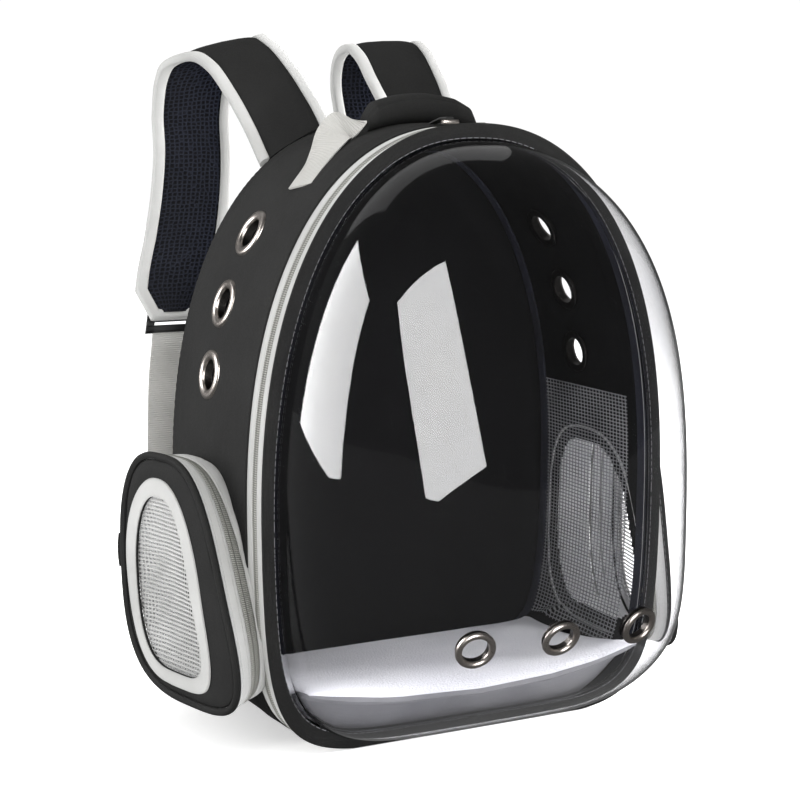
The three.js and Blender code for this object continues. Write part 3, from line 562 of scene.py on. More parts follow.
class Finishes:
    """Every material of the model, made once."""

    def __init__(self) -> None:
        """Makes the shared groups and the materials."""
        effects = Effects()
        black = ((0.0032, 0.0032, 0.003), (0.0085, 0.0085, 0.008))
        grey = ((0.41, 0.41, 0.4), (0.52, 0.52, 0.51))
        seam = Stitching((0.0143,), (0.22, 0.22, 0.23), 0.0052, 0.0005)
        tape_rows = Stitching((0.0016, 0.0072), (0.45, 0.45, 0.44), 0.003, 0.0006)
        self.cloth = Cloth("black_cloth", *black, crumple=0.0012).make(effects)
        self.rim = Cloth("black_binding", *black, pitch=0.0008, depth=0.0001, stitching=seam).make(effects)
        self.tape = Cloth("grey_tape", *grey, pitch=0.0007, stitching=tape_rows).make(effects)
        self.trim = Cloth("grey_trim", *grey, pitch=0.0007, depth=0.0001,
                          stitching=Stitching((0.0025,), (0.5, 0.5, 0.49), 0.003)).make(effects)
        self.webbing = Cloth("grey_webbing", (0.36, 0.36, 0.34), (0.5, 0.49, 0.47), rib=0.0016,
                             depth=0.0003).make(effects)
        self.seam = Cloth("seam_binding", (0.006, 0.007, 0.012), (0.016, 0.018, 0.03),
                          pitch=0.0009).make(effects)
        # Painted light: pale cloth for the inner faces of the pods, standing in for the outside light that
        # comes in through their nets.
        self.lining = Cloth("pod_inside_painted_light", (0.75, 0.75, 0.76), (0.92, 0.92, 0.92), pitch=0.0016,
                            depth=0.0004).make(effects)
        self.inside = Cloth("black_lining", (0.0012, 0.0012, 0.0016), (0.004, 0.004, 0.0045),
                            specular=0.1).make(effects)
        # Painted shade: darker grey cloth for the mat's front side, standing in for the shade that falls there.
        self.mat_front_painted_shade = Cloth("mat_front_painted_shade", (0.16, 0.16, 0.17), (0.24, 0.24, 0.25)).make(effects)
        self.spacer = SpacerMesh().make(effects)
        self.light_net = NetCloth("light_net", (0.4, 0.4, 0.39), (0.52, 0.52, 0.51), 0.0030, 0.0030, 0.40,
                                  0.50).make(effects)
        self.dark_net = NetCloth("dark_net", (0.2, 0.2, 0.21), (0.36, 0.36, 0.37), 0.0044, 0.0027, 0.26,
                                 0.30).make(effects)
        self.coil = ZipCoil("zip_coil", 0.0064).make(effects)
        self.metal = Metal().make(effects)
        # Painted shade: a darker copy of the gunmetal for the bore and back of each eyelet, standing in for the
        # shade in the hole.
        self.shaded_metal = Metal("gunmetal_painted_shade", (0.05, 0.046, 0.043), (0.09, 0.083, 0.078)).make(effects)
        self.clear = ClearPlastic().make(effects)
        self.plush = Plush().make(effects)
        self.plastic = MouldedPlastic().make(effects)


# Mesh helpers


def bend_grid(columns: int, rows: int, place: Place,
              spans: tuple[float, float] = (1.0, 1.0)) -> bmesh.types.BMesh:
    """Bends a flat grid into a surface. Edges that meet are joined.

    Args:
        columns: faces along the first share.
        rows: faces along the second share.
        place: position for a pair of shares.
        spans: the real lengths that the UV keeps.

    Returns:
        The mesh being edited.
    """
    mesh = bmesh.new()
    layer = mesh.loops.layers.uv.new("UVMap")
    bmesh.ops.create_grid(mesh, x_segments=columns, y_segments=rows, size=0.5, calc_uvs=True)
    for face in mesh.faces:
        for loop in face.loops:
            loop[layer].uv = (loop[layer].uv[0] * spans[0], loop[layer].uv[1] * spans[1])
    for vert in mesh.verts:
        vert.co = place(min(1.0, max(0.0, vert.co.x + 0.5)), min(1.0, max(0.0, vert.co.y + 0.5)))
    bmesh.ops.remove_doubles(mesh, verts=mesh.verts, dist=2e-6)
    bmesh.ops.recalc_face_normals(mesh, faces=mesh.faces)
    return mesh


def finish_piece(
    name: str, mesh: bmesh.types.BMesh, materials: Sequence[bpy.types.Material], node: str | None, slot: str,
    sharp: float = 40.0,
) -> bpy.types.Object:
    """Turns a mesh into a dressed piece of the model.

    Args:
        name: the piece's name.
        mesh: its mesh, freed here.
        materials: its materials in slot order.
        node: the frame node it stands for, or None.
        slot: not used.
        sharp: angle in degrees over which an edge stays sharp.

    Returns:
        The new object.
    """
    data = bpy.data.meshes.new(name)
    mesh.to_mesh(data)
    mesh.free()
    piece = bpy.data.objects.new(name, data)
    bpy.context.collection.objects.link(piece)
    for material in materials:
        data.materials.append(material)
    data.polygons.foreach_set("use_smooth", [True] * len(data.polygons))
    data.set_sharp_from_angle(angle=math.radians(sharp))
    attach(piece, "root")
    if node:
        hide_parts(node)
    LOG.info("%s: %d faces", name, len(data.polygons))
    return piece


def thicken(piece: bpy.types.Object, depth: float, offset: float = -1.0, lined: int = 0) -> None:
    """Gives a sheet its thickness.

    Args: piece, depth in metres, offset (-1 grows inwards), lined: inner slot."""
    made = piece.modifiers.new("thickness", "SOLIDIFY")
    made.thickness = depth
    made.offset = offset
    made.use_even_offset = False
    made.material_offset = lined


def paint_inside(mesh: bmesh.types.BMesh, centre: Vector, axis: int = 1) -> None:
    """Gives the second material to the faces that look at an axis.

    Args: mesh, centre: point of it, axis: its index."""
    mesh.normal_update()
    for face in mesh.faces:
        away = face.calc_center_median() - centre
        away[axis] = 0.0
        if face.normal.dot(away.normalized()) < -0.35:
            face.material_index = 1


def outward(mesh: bmesh.types.BMesh, centre: Vector) -> None:
    """Makes the faces of an open sheet look away from a point. Args: mesh: the sheet. centre: the point."""
    total = sum((face.calc_center_median() - centre).dot(face.normal) * face.calc_area() for face in mesh.faces)
    if total < 0:
        bmesh.ops.reverse_faces(mesh, faces=mesh.faces)


def cut_round(mesh: bmesh.types.BMesh, centre: Vector, axis: Vector, radius: float, reach: float) -> None:
    """Cuts a round hole in a fine sheet and rounds its edge.

    Args:
        mesh: the sheet.
        centre: middle of the hole.
        axis: its direction.
        radius: its radius.
        reach: how far along the axis the sheet is still cut.
    """
    def offset(point: Vector) -> tuple[float, Vector]:
        """Distance along the axis, and the part across it."""
        gap = point - centre
        along = gap.dot(axis)
        return abs(along), gap - axis * along

    doomed = []
    for face in mesh.faces:
        along, flat = offset(face.calc_center_median())
        if along < reach and flat.length < radius:
            doomed.append(face)
    bmesh.ops.delete(mesh, geom=doomed, context="FACES")
    for vert in mesh.verts:
        if vert.is_boundary:
            along, flat = offset(vert.co)
            if along < reach and flat.length < radius * 1.35:
                vert.co += flat.normalized() * (radius - flat.length)


@dataclass(frozen=True)
class AirFill:
    """Lets a padded piece fill out by a short cloth simulation, and keeps the result."""

    pressure: float = 4.0
    frames: int = 20
    cap: float = 0.0025

    def run(self, piece: bpy.types.Object, held: Callable[[bpy.types.MeshVertex], bool]) -> None:
        """Simulates the piece and moves its vertices by the capped result.

        Args:
            piece: closed padded piece without modifiers.
            held: whether a vertex keeps its place.
        """
        group = piece.vertex_groups.new(name="held")
        group.add([vert.index for vert in piece.data.vertices if held(vert)], 1.0, "REPLACE")
        cloth = piece.modifiers.new("fill", "CLOTH")
        cloth.point_cache.frame_start = 1
        cloth.point_cache.frame_end = self.frames
        settings = cloth.settings
        settings.quality = 4
        settings.mass = 0.2
        settings.vertex_group_mass = group.name
        settings.use_pressure = True
        settings.uniform_pressure_force = self.pressure
        settings.effector_weights.gravity = 0.0
        scene = bpy.context.scene
        for frame in range(1, self.frames + 1):
            scene.frame_set(frame)
        moved = piece.evaluated_get(bpy.context.evaluated_depsgraph_get()).data
        shifts = [after.co - before.co for after, before in zip(moved.vertices, piece.data.vertices)]
        piece.modifiers.remove(cloth)
        piece.vertex_groups.remove(group)
        for vert, shift in zip(piece.data.vertices, shifts):
            vert.co += shift * self.cap / (self.cap + shift.length)
        scene.frame_set(1)
        LOG.info("%s: filled, largest motion %.1f mm", piece.name, max(s.length for s in shifts) * 1000)


class EvenLoop:
    """A closed outline sampled evenly by its length."""

    def __init__(self, spot: Callable[[float], tuple[float, float]], start: float = -math.pi / 2,
                 count: int = 1440) -> None:
        """Samples the outline. Args: spot: point for an angle. start: first angle. count: samples."""
        self.angles = start + np.arange(count + 1) * TURN / count
        points = np.array([spot(a) for a in self.angles])
        steps = np.linalg.norm(np.diff(points, axis=0), axis=1)
        self.lengths = np.concatenate([[0.0], np.cumsum(steps)])
        self.points = points
        self.length = float(self.lengths[-1])

    def angle(self, share: float) -> float:
        """Angle of the outline at a share of its length."""
        return float(np.interp(share % 1.0 * self.length, self.lengths, self.angles))

    def at(self, share: float, inset: float = 0.0) -> tuple[float, float]:
        """Point of the outline, moved in by inset. Args: share: share of the length. inset: metres."""
        def point(part: float) -> np.ndarray:
            """Point of the outline at a share."""
            along = part % 1.0 * self.length
            return np.array([np.interp(along, self.lengths, self.points[:, i]) for i in (0, 1)])

        ahead = point(share + 0.003) - point(share - 0.003)
        ahead /= np.linalg.norm(ahead)
        here = point(share)
        return float(here[0] - ahead[1] * inset), float(here[1] + ahead[0] * inset)


def signed_power(value: float, exponent: float) -> float:
    """Power that keeps the sign."""
    return math.copysign(abs(value) ** exponent, value)


def smooth(value: float, low: float, high: float) -> float:
    """Soft step from 0 at low to 1 at high."""
    share = min(1.0, max(0.0, (value - low) / (high - low)))
    return share * share * (3 - 2 * share)


def ripple(point: Vector, scale: float, seed: float = 0.0) -> float:
    """Smooth noise from -1 to 1. Args: point: place. scale: waves per metre. seed: offset."""
    return noise.noise(Vector(point) * scale + Vector((seed, seed * 0.7, -seed)))


def round_section(width: float, thickness: float, radius: float, steps: int = 3) -> list[tuple[float, float]]:
    """A rectangle with rounded corners, its first point in the middle of its lower side.

    Args:
        width: size across.
        thickness: size through.
        radius: corner radius.
        steps: points round a corner.

    Returns:
        Points round the section.
    """
    corners = ((1, -1, -90), (1, 1, 0), (-1, 1, 90), (-1, -1, 180))
    points = [(0.0, -thickness / 2)]
    for u, v, start in corners:
        for i in range(steps + 1):
            turn = math.radians(start + 90 * i / steps)
            points.append((u * (width / 2 - radius) + radius * math.cos(turn),
                           v * (thickness / 2 - radius) + radius * math.sin(turn)))
    return points


class Section:
    """A closed section that can be read by a share of its length."""

    def __init__(self, points: Sequence[tuple[float, float]]) -> None:
        """Keeps the points. Args: points: the section's corners."""
        self.points = list(points) + [points[0]]
        self.rows = len(points)
        self.length = sum(math.dist(a, b) for a, b in zip(self.points, self.points[1:]))

    def at(self, share: float) -> tuple[float, float]:
        """Corner nearest to a share of the row count."""
        return self.points[round(share * self.rows)]


# The body


@dataclass
class BodyShape:
    """Outline of the body and the layout of its depth."""

    half_width: float = 0.158
    height: float = 0.420
    belt: float = 0.160
    arch: float = 2.25
    base: float = 6.0
    tuck: float = 0.06
    trim: float = 0.0015
    depth: float = 0.165
    wall: float = 0.003

    def __post_init__(self) -> None:
        """Samples the outline."""
        self.loop = EvenLoop(self.spot)
        self.front = -self.depth / 2
        self.back = self.depth / 2

    def spot(self, angle: float) -> tuple[float, float]:
        """Point of the outline at an angle."""
        rise, across = math.sin(angle), math.cos(angle)
        if rise >= 0:
            lift = (self.height - self.belt) * rise ** (2 / self.arch)
            return self.half_width * signed_power(across, 2 / self.arch), self.belt + lift
        drop = abs(rise) ** (2 / self.base)
        half = self.half_width * (1 - self.tuck * drop * drop)
        low = min(self.belt, (self.belt + self.trim) * drop)
        return half * signed_power(across, 2 / self.base), self.belt - low

    def point(self, share: float, y: float, inset: float = 0.0) -> Vector:
        """Point of the body at a share of its outline. Args: share, y, inset in metres."""
        x, z = self.loop.at(share, inset)
        return Vector((x, y, max(0.0, z)))

    def half_at(self, height: float) -> float:
        """Half width at a height."""
        if height >= self.belt:
            share = min(1.0, (height - self.belt) / (self.height - self.belt))
            return self.half_width * (1 - share ** self.arch) ** (1 / self.arch)
        share = min(1.0, (self.belt - height) / (self.belt + self.trim))
        return self.half_width * (1 - self.tuck * share * share) * (1 - share ** self.base) ** (1 / self.base)

    def top_at(self, x: float) -> float:
        """Height of the top at a distance from the middle."""
        share = min(1.0, abs(x) / self.half_width)
        return self.belt + (self.height - self.belt) * (1 - share ** self.arch) ** (1 / self.arch)

    def band(self, name: str, section: Section, y: float, columns: int) -> bmesh.types.BMesh:
        """A closed band round the body.

        Args: name (not used), section as (depth, out) points, y of its middle, columns."""
        def place(u: float, v: float) -> Vector:
            """Point for a share along (u) and a share across (v)."""
            depth, out = section.at(v)
            return self.point(u, y + depth, -out)

        return bend_grid(columns, section.rows, place, (self.loop.length, section.length))


@dataclass
class VentRing:
    """A rolled metal eyelet, made facing +Z and then set in its place."""

    outer: float
    hole: float
    sleeve: float
    crown: float
    washer: float
    sheet: float
    sag: float
    roll: int = 9

    def mesh(self, centre: Vector, direction: Vector) -> bmesh.types.BMesh:
        """Spins the eyelet's profile and sets it in place. Args: centre, direction. Returns: the mesh."""
        low = -(self.sheet + self.sag)
        middle, half = (self.hole + self.outer) / 2, (self.outer - self.hole) / 2
        profile = [(middle + half * math.cos(math.pi * i / self.roll),
                    0.0004 + (self.crown - 0.0004) * math.sin(math.pi * i / self.roll) ** 0.8)
                   for i in range(self.roll + 1)]
        profile += [(self.hole, low - 0.0006), (self.hole + 0.0006, low - 0.0011),
                    (self.washer - 0.0005, low - 0.0011),
                    (self.washer, low - 0.0006), (self.washer, low), (self.sleeve, low), (self.sleeve, 0.0004)]
        mesh = bmesh.new()
        mesh.loops.layers.uv.new("UVMap")
        verts = [mesh.verts.new((radius, 0, height)) for radius, height in profile]
        edges = [mesh.edges.new((a, b)) for a, b in zip(verts, verts[1:] + verts[:1])]
        bmesh.ops.spin(mesh, geom=verts + edges, axis=(0, 0, 1), cent=(0, 0, 0), angle=TURN, steps=56,
                       use_merge=True)
        bmesh.ops.remove_doubles(mesh, verts=mesh.verts, dist=1e-6)
        bmesh.ops.recalc_face_normals(mesh, faces=mesh.faces)
        # Faces below the crown (the bore, sleeve and back washer) take the darker metal copy: painted shade in
        # the hole and under the sheet.
        for face in mesh.faces:
            face.material_index = int(face.calc_center_median().z < 0.0003)
        turn = Vector((0, 0, 1)).rotation_difference(direction).to_matrix().to_4x4()
        bmesh.ops.transform(mesh, matrix=Matrix.Translation(centre) @ turn, verts=mesh.verts)
        return mesh


@dataclass
class SideVents:
    """The metal vent rings of the gusset."""

    body: BodyShape
    setback: float = 0.100
    heights: dict[str, float] = field(default_factory=lambda: {"upper": 0.345, "middle": 0.297, "lower": 0.248})
    hole: float = 0.0125

    def seats(self) -> list[tuple[str, Vector, Vector]]:
        """Name, middle and direction of every ring."""
        found = []
        for side in Side:
            for level, height in self.heights.items():
                slope = (self.body.half_at(height + 0.001) - self.body.half_at(height - 0.001)) / 0.002
                centre = Vector((side.value * self.body.half_at(height), self.body.front + self.setback,
                                 height))
                direction = Vector((side.value, 0, -slope)).normalized()
                found.append((f"side_grommet_{side.label}_{level}", centre, direction))
        return found

    def build(self, finishes: Finishes) -> None:
        """Builds the rings. Args: finishes: materials."""
        ring = VentRing(0.0175, 0.01075, 0.0124, 0.0030, 0.016, self.body.wall, 0.0013)
        for name, centre, direction in self.seats():
            finish_piece(name + "_visual", ring.mesh(centre, direction), [finishes.metal, finishes.shaded_metal],
                         name, "gunmetal")


@dataclass
class Gusset:
    """The black wall round the body, its rear panel and the seam binding inside."""

    body: BodyShape
    front: float = -0.0586
    padding: float = 0.006
    puff: float = 0.0016
    window_rim: float = 0.009
    columns: int = 520
    rows: int = 60

    def wrinkle(self, point: Vector, share: float) -> float:
        """Outward push of the cloth. Args: point: place on the wall. share: from front to back."""
        edge = min(1.0, 9 * share * (1 - share))
        lift = smooth(point.z, 0.0, 0.03)
        slack = Vector((point.x * 9, point.y * 22 + point.z * 7, point.z * 13))
        fold = noise.noise(slack) * 0.0010 + noise.noise(slack * 2.3) * 0.00045
        pucker = math.sin(point.z * 900 + point.x * 900) * 0.00016 * math.exp(-min(share, 1 - share) * 26)
        return lift * ((self.puff * edge + fold) * edge * 0.8 + pucker)

    def build(self, finishes: Finishes, vents: SideVents, pods: "SidePods") -> None:
        """Builds the wall, the rear panel and the seam binding.

        Args: finishes, vents, pods: what it is cut for."""
        def place(u: float, v: float) -> Vector:
            """Point for a share along (u) and a share across (v)."""
            y = self.front + (self.body.back - self.front) * v
            flat = self.body.point(u, y)
            return self.body.point(u, y, -self.wrinkle(flat, v))

        depth = self.body.back - self.front
        mesh = bend_grid(self.columns, self.rows, place, (self.body.loop.length, depth))
        outward(mesh, Vector((0, 0, 0.2)))
        for _, centre, direction in vents.seats():
            cut_round(mesh, centre, direction, vents.hole, 0.02)
        doomed = [f for f in mesh.faces if pods.over_window(f.calc_center_median(), self.window_rim)]
        bmesh.ops.delete(mesh, geom=doomed, context="FACES")
        piece = finish_piece("gusset_cloth", mesh, [finishes.cloth, finishes.inside], "gusset", "black_cloth")
        thicken(piece, self.body.wall - 0.0006, -1.0, 1)
        self.build_back(finishes)

    def build_back(self, finishes: Finishes) -> None:
        """Builds the padded rear panel and the seam binding. Args: finishes: materials."""
        rim = self.body.wall + GAP
        middle = Vector((0, 0, 0.2))

        def place(u: float, v: float) -> Vector:
            """Point for a share along (u) and a share across (v)."""
            edge = self.body.point(u, 0.0, rim)
            spot = edge.lerp(middle, v)
            swell = 0.0035 * smooth(v, 0.0, 0.14) + 0.0005 * ripple(spot, 24)
            return Vector((spot.x, self.body.back - 0.0035 + swell, spot.z))

        mesh = bend_grid(260, 60, place, (self.body.loop.length, 0.2))
        outward(mesh, Vector((0, 0, 0.2)))
        piece = finish_piece("back_panel_cloth", mesh, [finishes.cloth, finishes.inside], "back_panel",
                             "black_cloth")
        thicken(piece, 0.0025, -1.0, 1)
        section = Section(round_section(0.010, 0.0012, 0.0004, 2))
        y = self.body.back - self.padding - GAP - 0.005
        band = self.body.band("seam", Section([(d, o - rim - 0.0006) for d, o in section.points[:-1]]), y, 260)
        finish_piece("seam_binding_tape", band, [finishes.seam], "back_seam_binding", "black_cloth")


@dataclass
class DoorRim:
    """The rolled rim of the door, its two zip tapes and the coil between them."""

    body: BodyShape
    lip: float = 0.005
    binding: float = 0.0035
    tape: float = 0.0024
    front_tape: float = 0.0084
    chain: float = 0.0064
    rear_tape: float = 0.0094
    proud: float = 0.0012
    sunk: float = 0.0008
    columns: int = 420

    def build(self, finishes: Finishes, dome: "Dome") -> None:
        """Builds the rim. Args: finishes: materials. dome: the bubble that it holds."""
        start = self.body.front - self.lip
        steps = 12

        def roll(u: float, v: float) -> Vector:
            """Point for a share round the body (u) and a share round the roll (v)."""
            turn = TURN * v
            level = self.body.point(u, start).z
            out = self.body.point(u, start, -self.proud * smooth(level, 0.2, 0.4))
            inner = dome.point(u, 0.0, -0.0007, start)
            half = (out - inner) / 2
            centre = inner + half
            width = signed_power(math.cos(turn), 0.6)
            depth = signed_power(math.sin(turn), 0.75) * self.binding / 2
            return Vector((centre.x + half.x * width, start + self.binding / 2 + depth,
                           max(0.0, centre.z + half.z * width)))

        mesh = bend_grid(self.columns, steps, roll, (self.body.loop.length, 0.024))
        finish_piece("rim_binding", mesh, [finishes.rim], "front_binding", "black_cloth")
        y = start + self.binding + GAP
        for name, node, width, finish, slot in (
            ("door_tape_front", "front_tape", self.front_tape, finishes.tape, "grey_tape"),
            ("door_zip_coil", "main_zip_chain", self.chain, finishes.coil, "zip_coil"),
            ("door_tape_rear", "rear_tape", self.rear_tape, finishes.tape, "grey_tape"),
        ):
            proud = 0.0004 if node == "main_zip_chain" else 0.0
            thick = self.tape + proud
            radius = 0.0011 if proud else 0.0006
            section = Section([(d, o + proud - thick / 2 - self.sunk)
                               for d, o in round_section(width, thick, radius, 3)])
            mesh = self.body.band(name, section, y + width / 2, self.columns)
            self.level_uv(mesh, y)
            paint_inside(mesh, Vector((0, 0, 0.19)))
            finish_piece(name, mesh, [finish, finishes.seam], node, slot)
            y += width + GAP

    @staticmethod
    def level_uv(mesh: bmesh.types.BMesh, start: float) -> None:
        """Makes V the distance behind a band's front edge. Args: mesh: the band. start: its front edge."""
        layer = mesh.loops.layers.uv["UVMap"]
        for face in mesh.faces:
            for loop in face.loops:
                loop[layer].uv = (loop[layer].uv[0], loop.vert.co.y - start)


@dataclass
class Dome:
    """The clear bubble, its flange and its three vent rings."""

    body: BodyShape
    inset: float = 0.010
    depth: float = 0.1257
    thickness: float = 0.0015
    centre: float = 0.1182
    side: float = 2.39
    top: float = 2.07
    bottom: float = 1.59
    front_arch: float = 3.44
    front_base: float = 4.62
    neck: float = 0.006
    sag: float = 0.0096
    sag_run: float = 0.05
    base_run: float = 0.12
    rings: tuple[tuple[str, float, float], ...] = (
        ("left", -0.0613, 0.0954), ("middle", 0.0, 0.0954), ("right", 0.0613, 0.0954))
    columns: int = 400
    rows: int = 120

    @staticmethod
    def falloff(share: float, roundness: float) -> float:
        """Superellipse falloff from 1 to 0."""
        return max(0.0, 1 - share ** roundness) ** (1 / roundness)

    def cut(self, share: float, thin: float) -> tuple[float, ...]:
        """Half width, rise, drop, arch, base and centre of a section.

        Args: share of the depth, thin inwards."""
        half = self.body.half_width - self.inset - thin
        past = max(0.0, share - self.neck / self.depth)
        centre = self.body.belt + (self.centre - self.body.belt) * past
        floor = self.inset + thin - self.sag * (1 - math.exp(-past / self.sag_run))
        return (
            half * self.falloff(share, self.side),
            (self.body.height - self.inset - thin - centre) * self.falloff(share, self.top),
            (centre - floor) * self.falloff(share, self.bottom),
            self.body.arch + (self.front_arch - self.body.arch) * past,
            self.front_base + (self.body.base - self.front_base) * math.exp(-share / self.base_run),
            centre,
        )

    def point(self, turn: float, share: float, thin: float = 0.0, y: float | None = None) -> Vector:
        """Point of the bubble. Args: turn round it, share of its depth, thin inwards, y if it is forced."""
        half, rise, drop, arch, base, centre = self.cut(share, thin)
        angle = self.body.loop.angle(turn)
        up, across = math.sin(angle), math.cos(angle)
        exponent = 2 / (arch if up >= 0 else base)
        lift = abs(up) ** exponent
        width = half * (1 if up >= 0 else 1 - self.body.tuck * lift * lift)
        z = centre + (rise if up >= 0 else -drop) * lift
        depth = self.body.front - (self.depth - thin) * share if y is None else y
        return Vector((width * signed_power(across, exponent), depth, z))

    def over(self, x: float, z: float) -> Vector:
        """Point of the outer surface over a place of its face."""
        low, high = 0.0, 1.0
        for _ in range(40):
            middle = (low + high) / 2
            half, rise, drop, arch, base, centre = self.cut(middle, 0.0)
            above = z >= centre
            power = arch if above else base
            reach = ((abs(x) / max(half, 1e-9)) ** power
                     + (abs(z - centre) / max(rise if above else drop, 1e-9)) ** power)
            low, high = (middle, high) if reach < 1 else (low, middle)
        return Vector((x, self.body.front - self.depth * low, z))

    def normal(self, x: float, z: float) -> Vector:
        """Outward direction over a place of its face."""
        step = 0.003
        across = self.over(x + step, z) - self.over(x - step, z)
        up = self.over(x, z + step) - self.over(x, z - step)
        return across.cross(up).normalized()

    def build(self, finishes: Finishes) -> None:
        """Builds the bubble and its rings. Args: finishes: materials."""
        flange = 0.05
        plane = self.body.front - 0.005 + 0.0035 + GAP

        def place(u: float, v: float) -> Vector:
            """Point for a share along (u) and a share across (v)."""
            if v < flange:
                outer = self.body.point(u, plane, 0.0024 + GAP)
                inner = self.point(u, 0.0, 0.0, plane)
                return outer.lerp(inner, v / flange)
            share = math.sin((v - flange) / (1 - flange) * math.pi / 2)
            spot = self.point(u, share)
            spot.y = min(spot.y, plane)
            return spot

        mesh = bend_grid(self.columns, self.rows, place, (self.body.loop.length, 0.3))
        outward(mesh, Vector((0, 0, 0.2)))
        seats = [(name, self.over(x, z), self.normal(x, z)) for name, x, z in self.rings]
        for _, centre, direction in seats:
            cut_round(mesh, centre, direction, 0.0104, 0.02)
        piece = finish_piece("dome_clear", mesh, [finishes.clear], "dome", "clear_plastic", 75.0)
        thicken(piece, self.thickness)
        ring = VentRing(0.0135, 0.0090, 0.0103, 0.0030, 0.0125, self.thickness, 0.0013)
        for name, centre, direction in seats:
            finish_piece(f"dome_ring_{name}", ring.mesh(centre, direction),
                         [finishes.metal, finishes.shaded_metal],
                         f"dome_grommet_{name}", "gunmetal")


@dataclass(frozen=True)
class PodOutline:
    """A rounded, leaning, tapered egg in the pod's plane."""

    centre: float
    height: float
    half_width: float
    half_height: float
    top: float
    bottom: float
    taper: float
    lean: float
    bend: float

    def spot(self, angle: float) -> tuple[float, float]:
        """Point of the outline at an angle."""
        rise = math.sin(angle)
        exponent = 2 / (self.top if rise >= 0 else self.bottom)
        v = signed_power(rise, exponent)
        middle = self.centre + self.half_height * (self.lean * v + self.bend * (v * v - 0.33))
        half = self.half_width * (1 - self.taper * v)
        return middle + half * signed_power(math.cos(angle), exponent), self.height + self.half_height * v

    def loop(self) -> EvenLoop:
        """The outline sampled evenly."""
        return EvenLoop(self.spot, count=720)


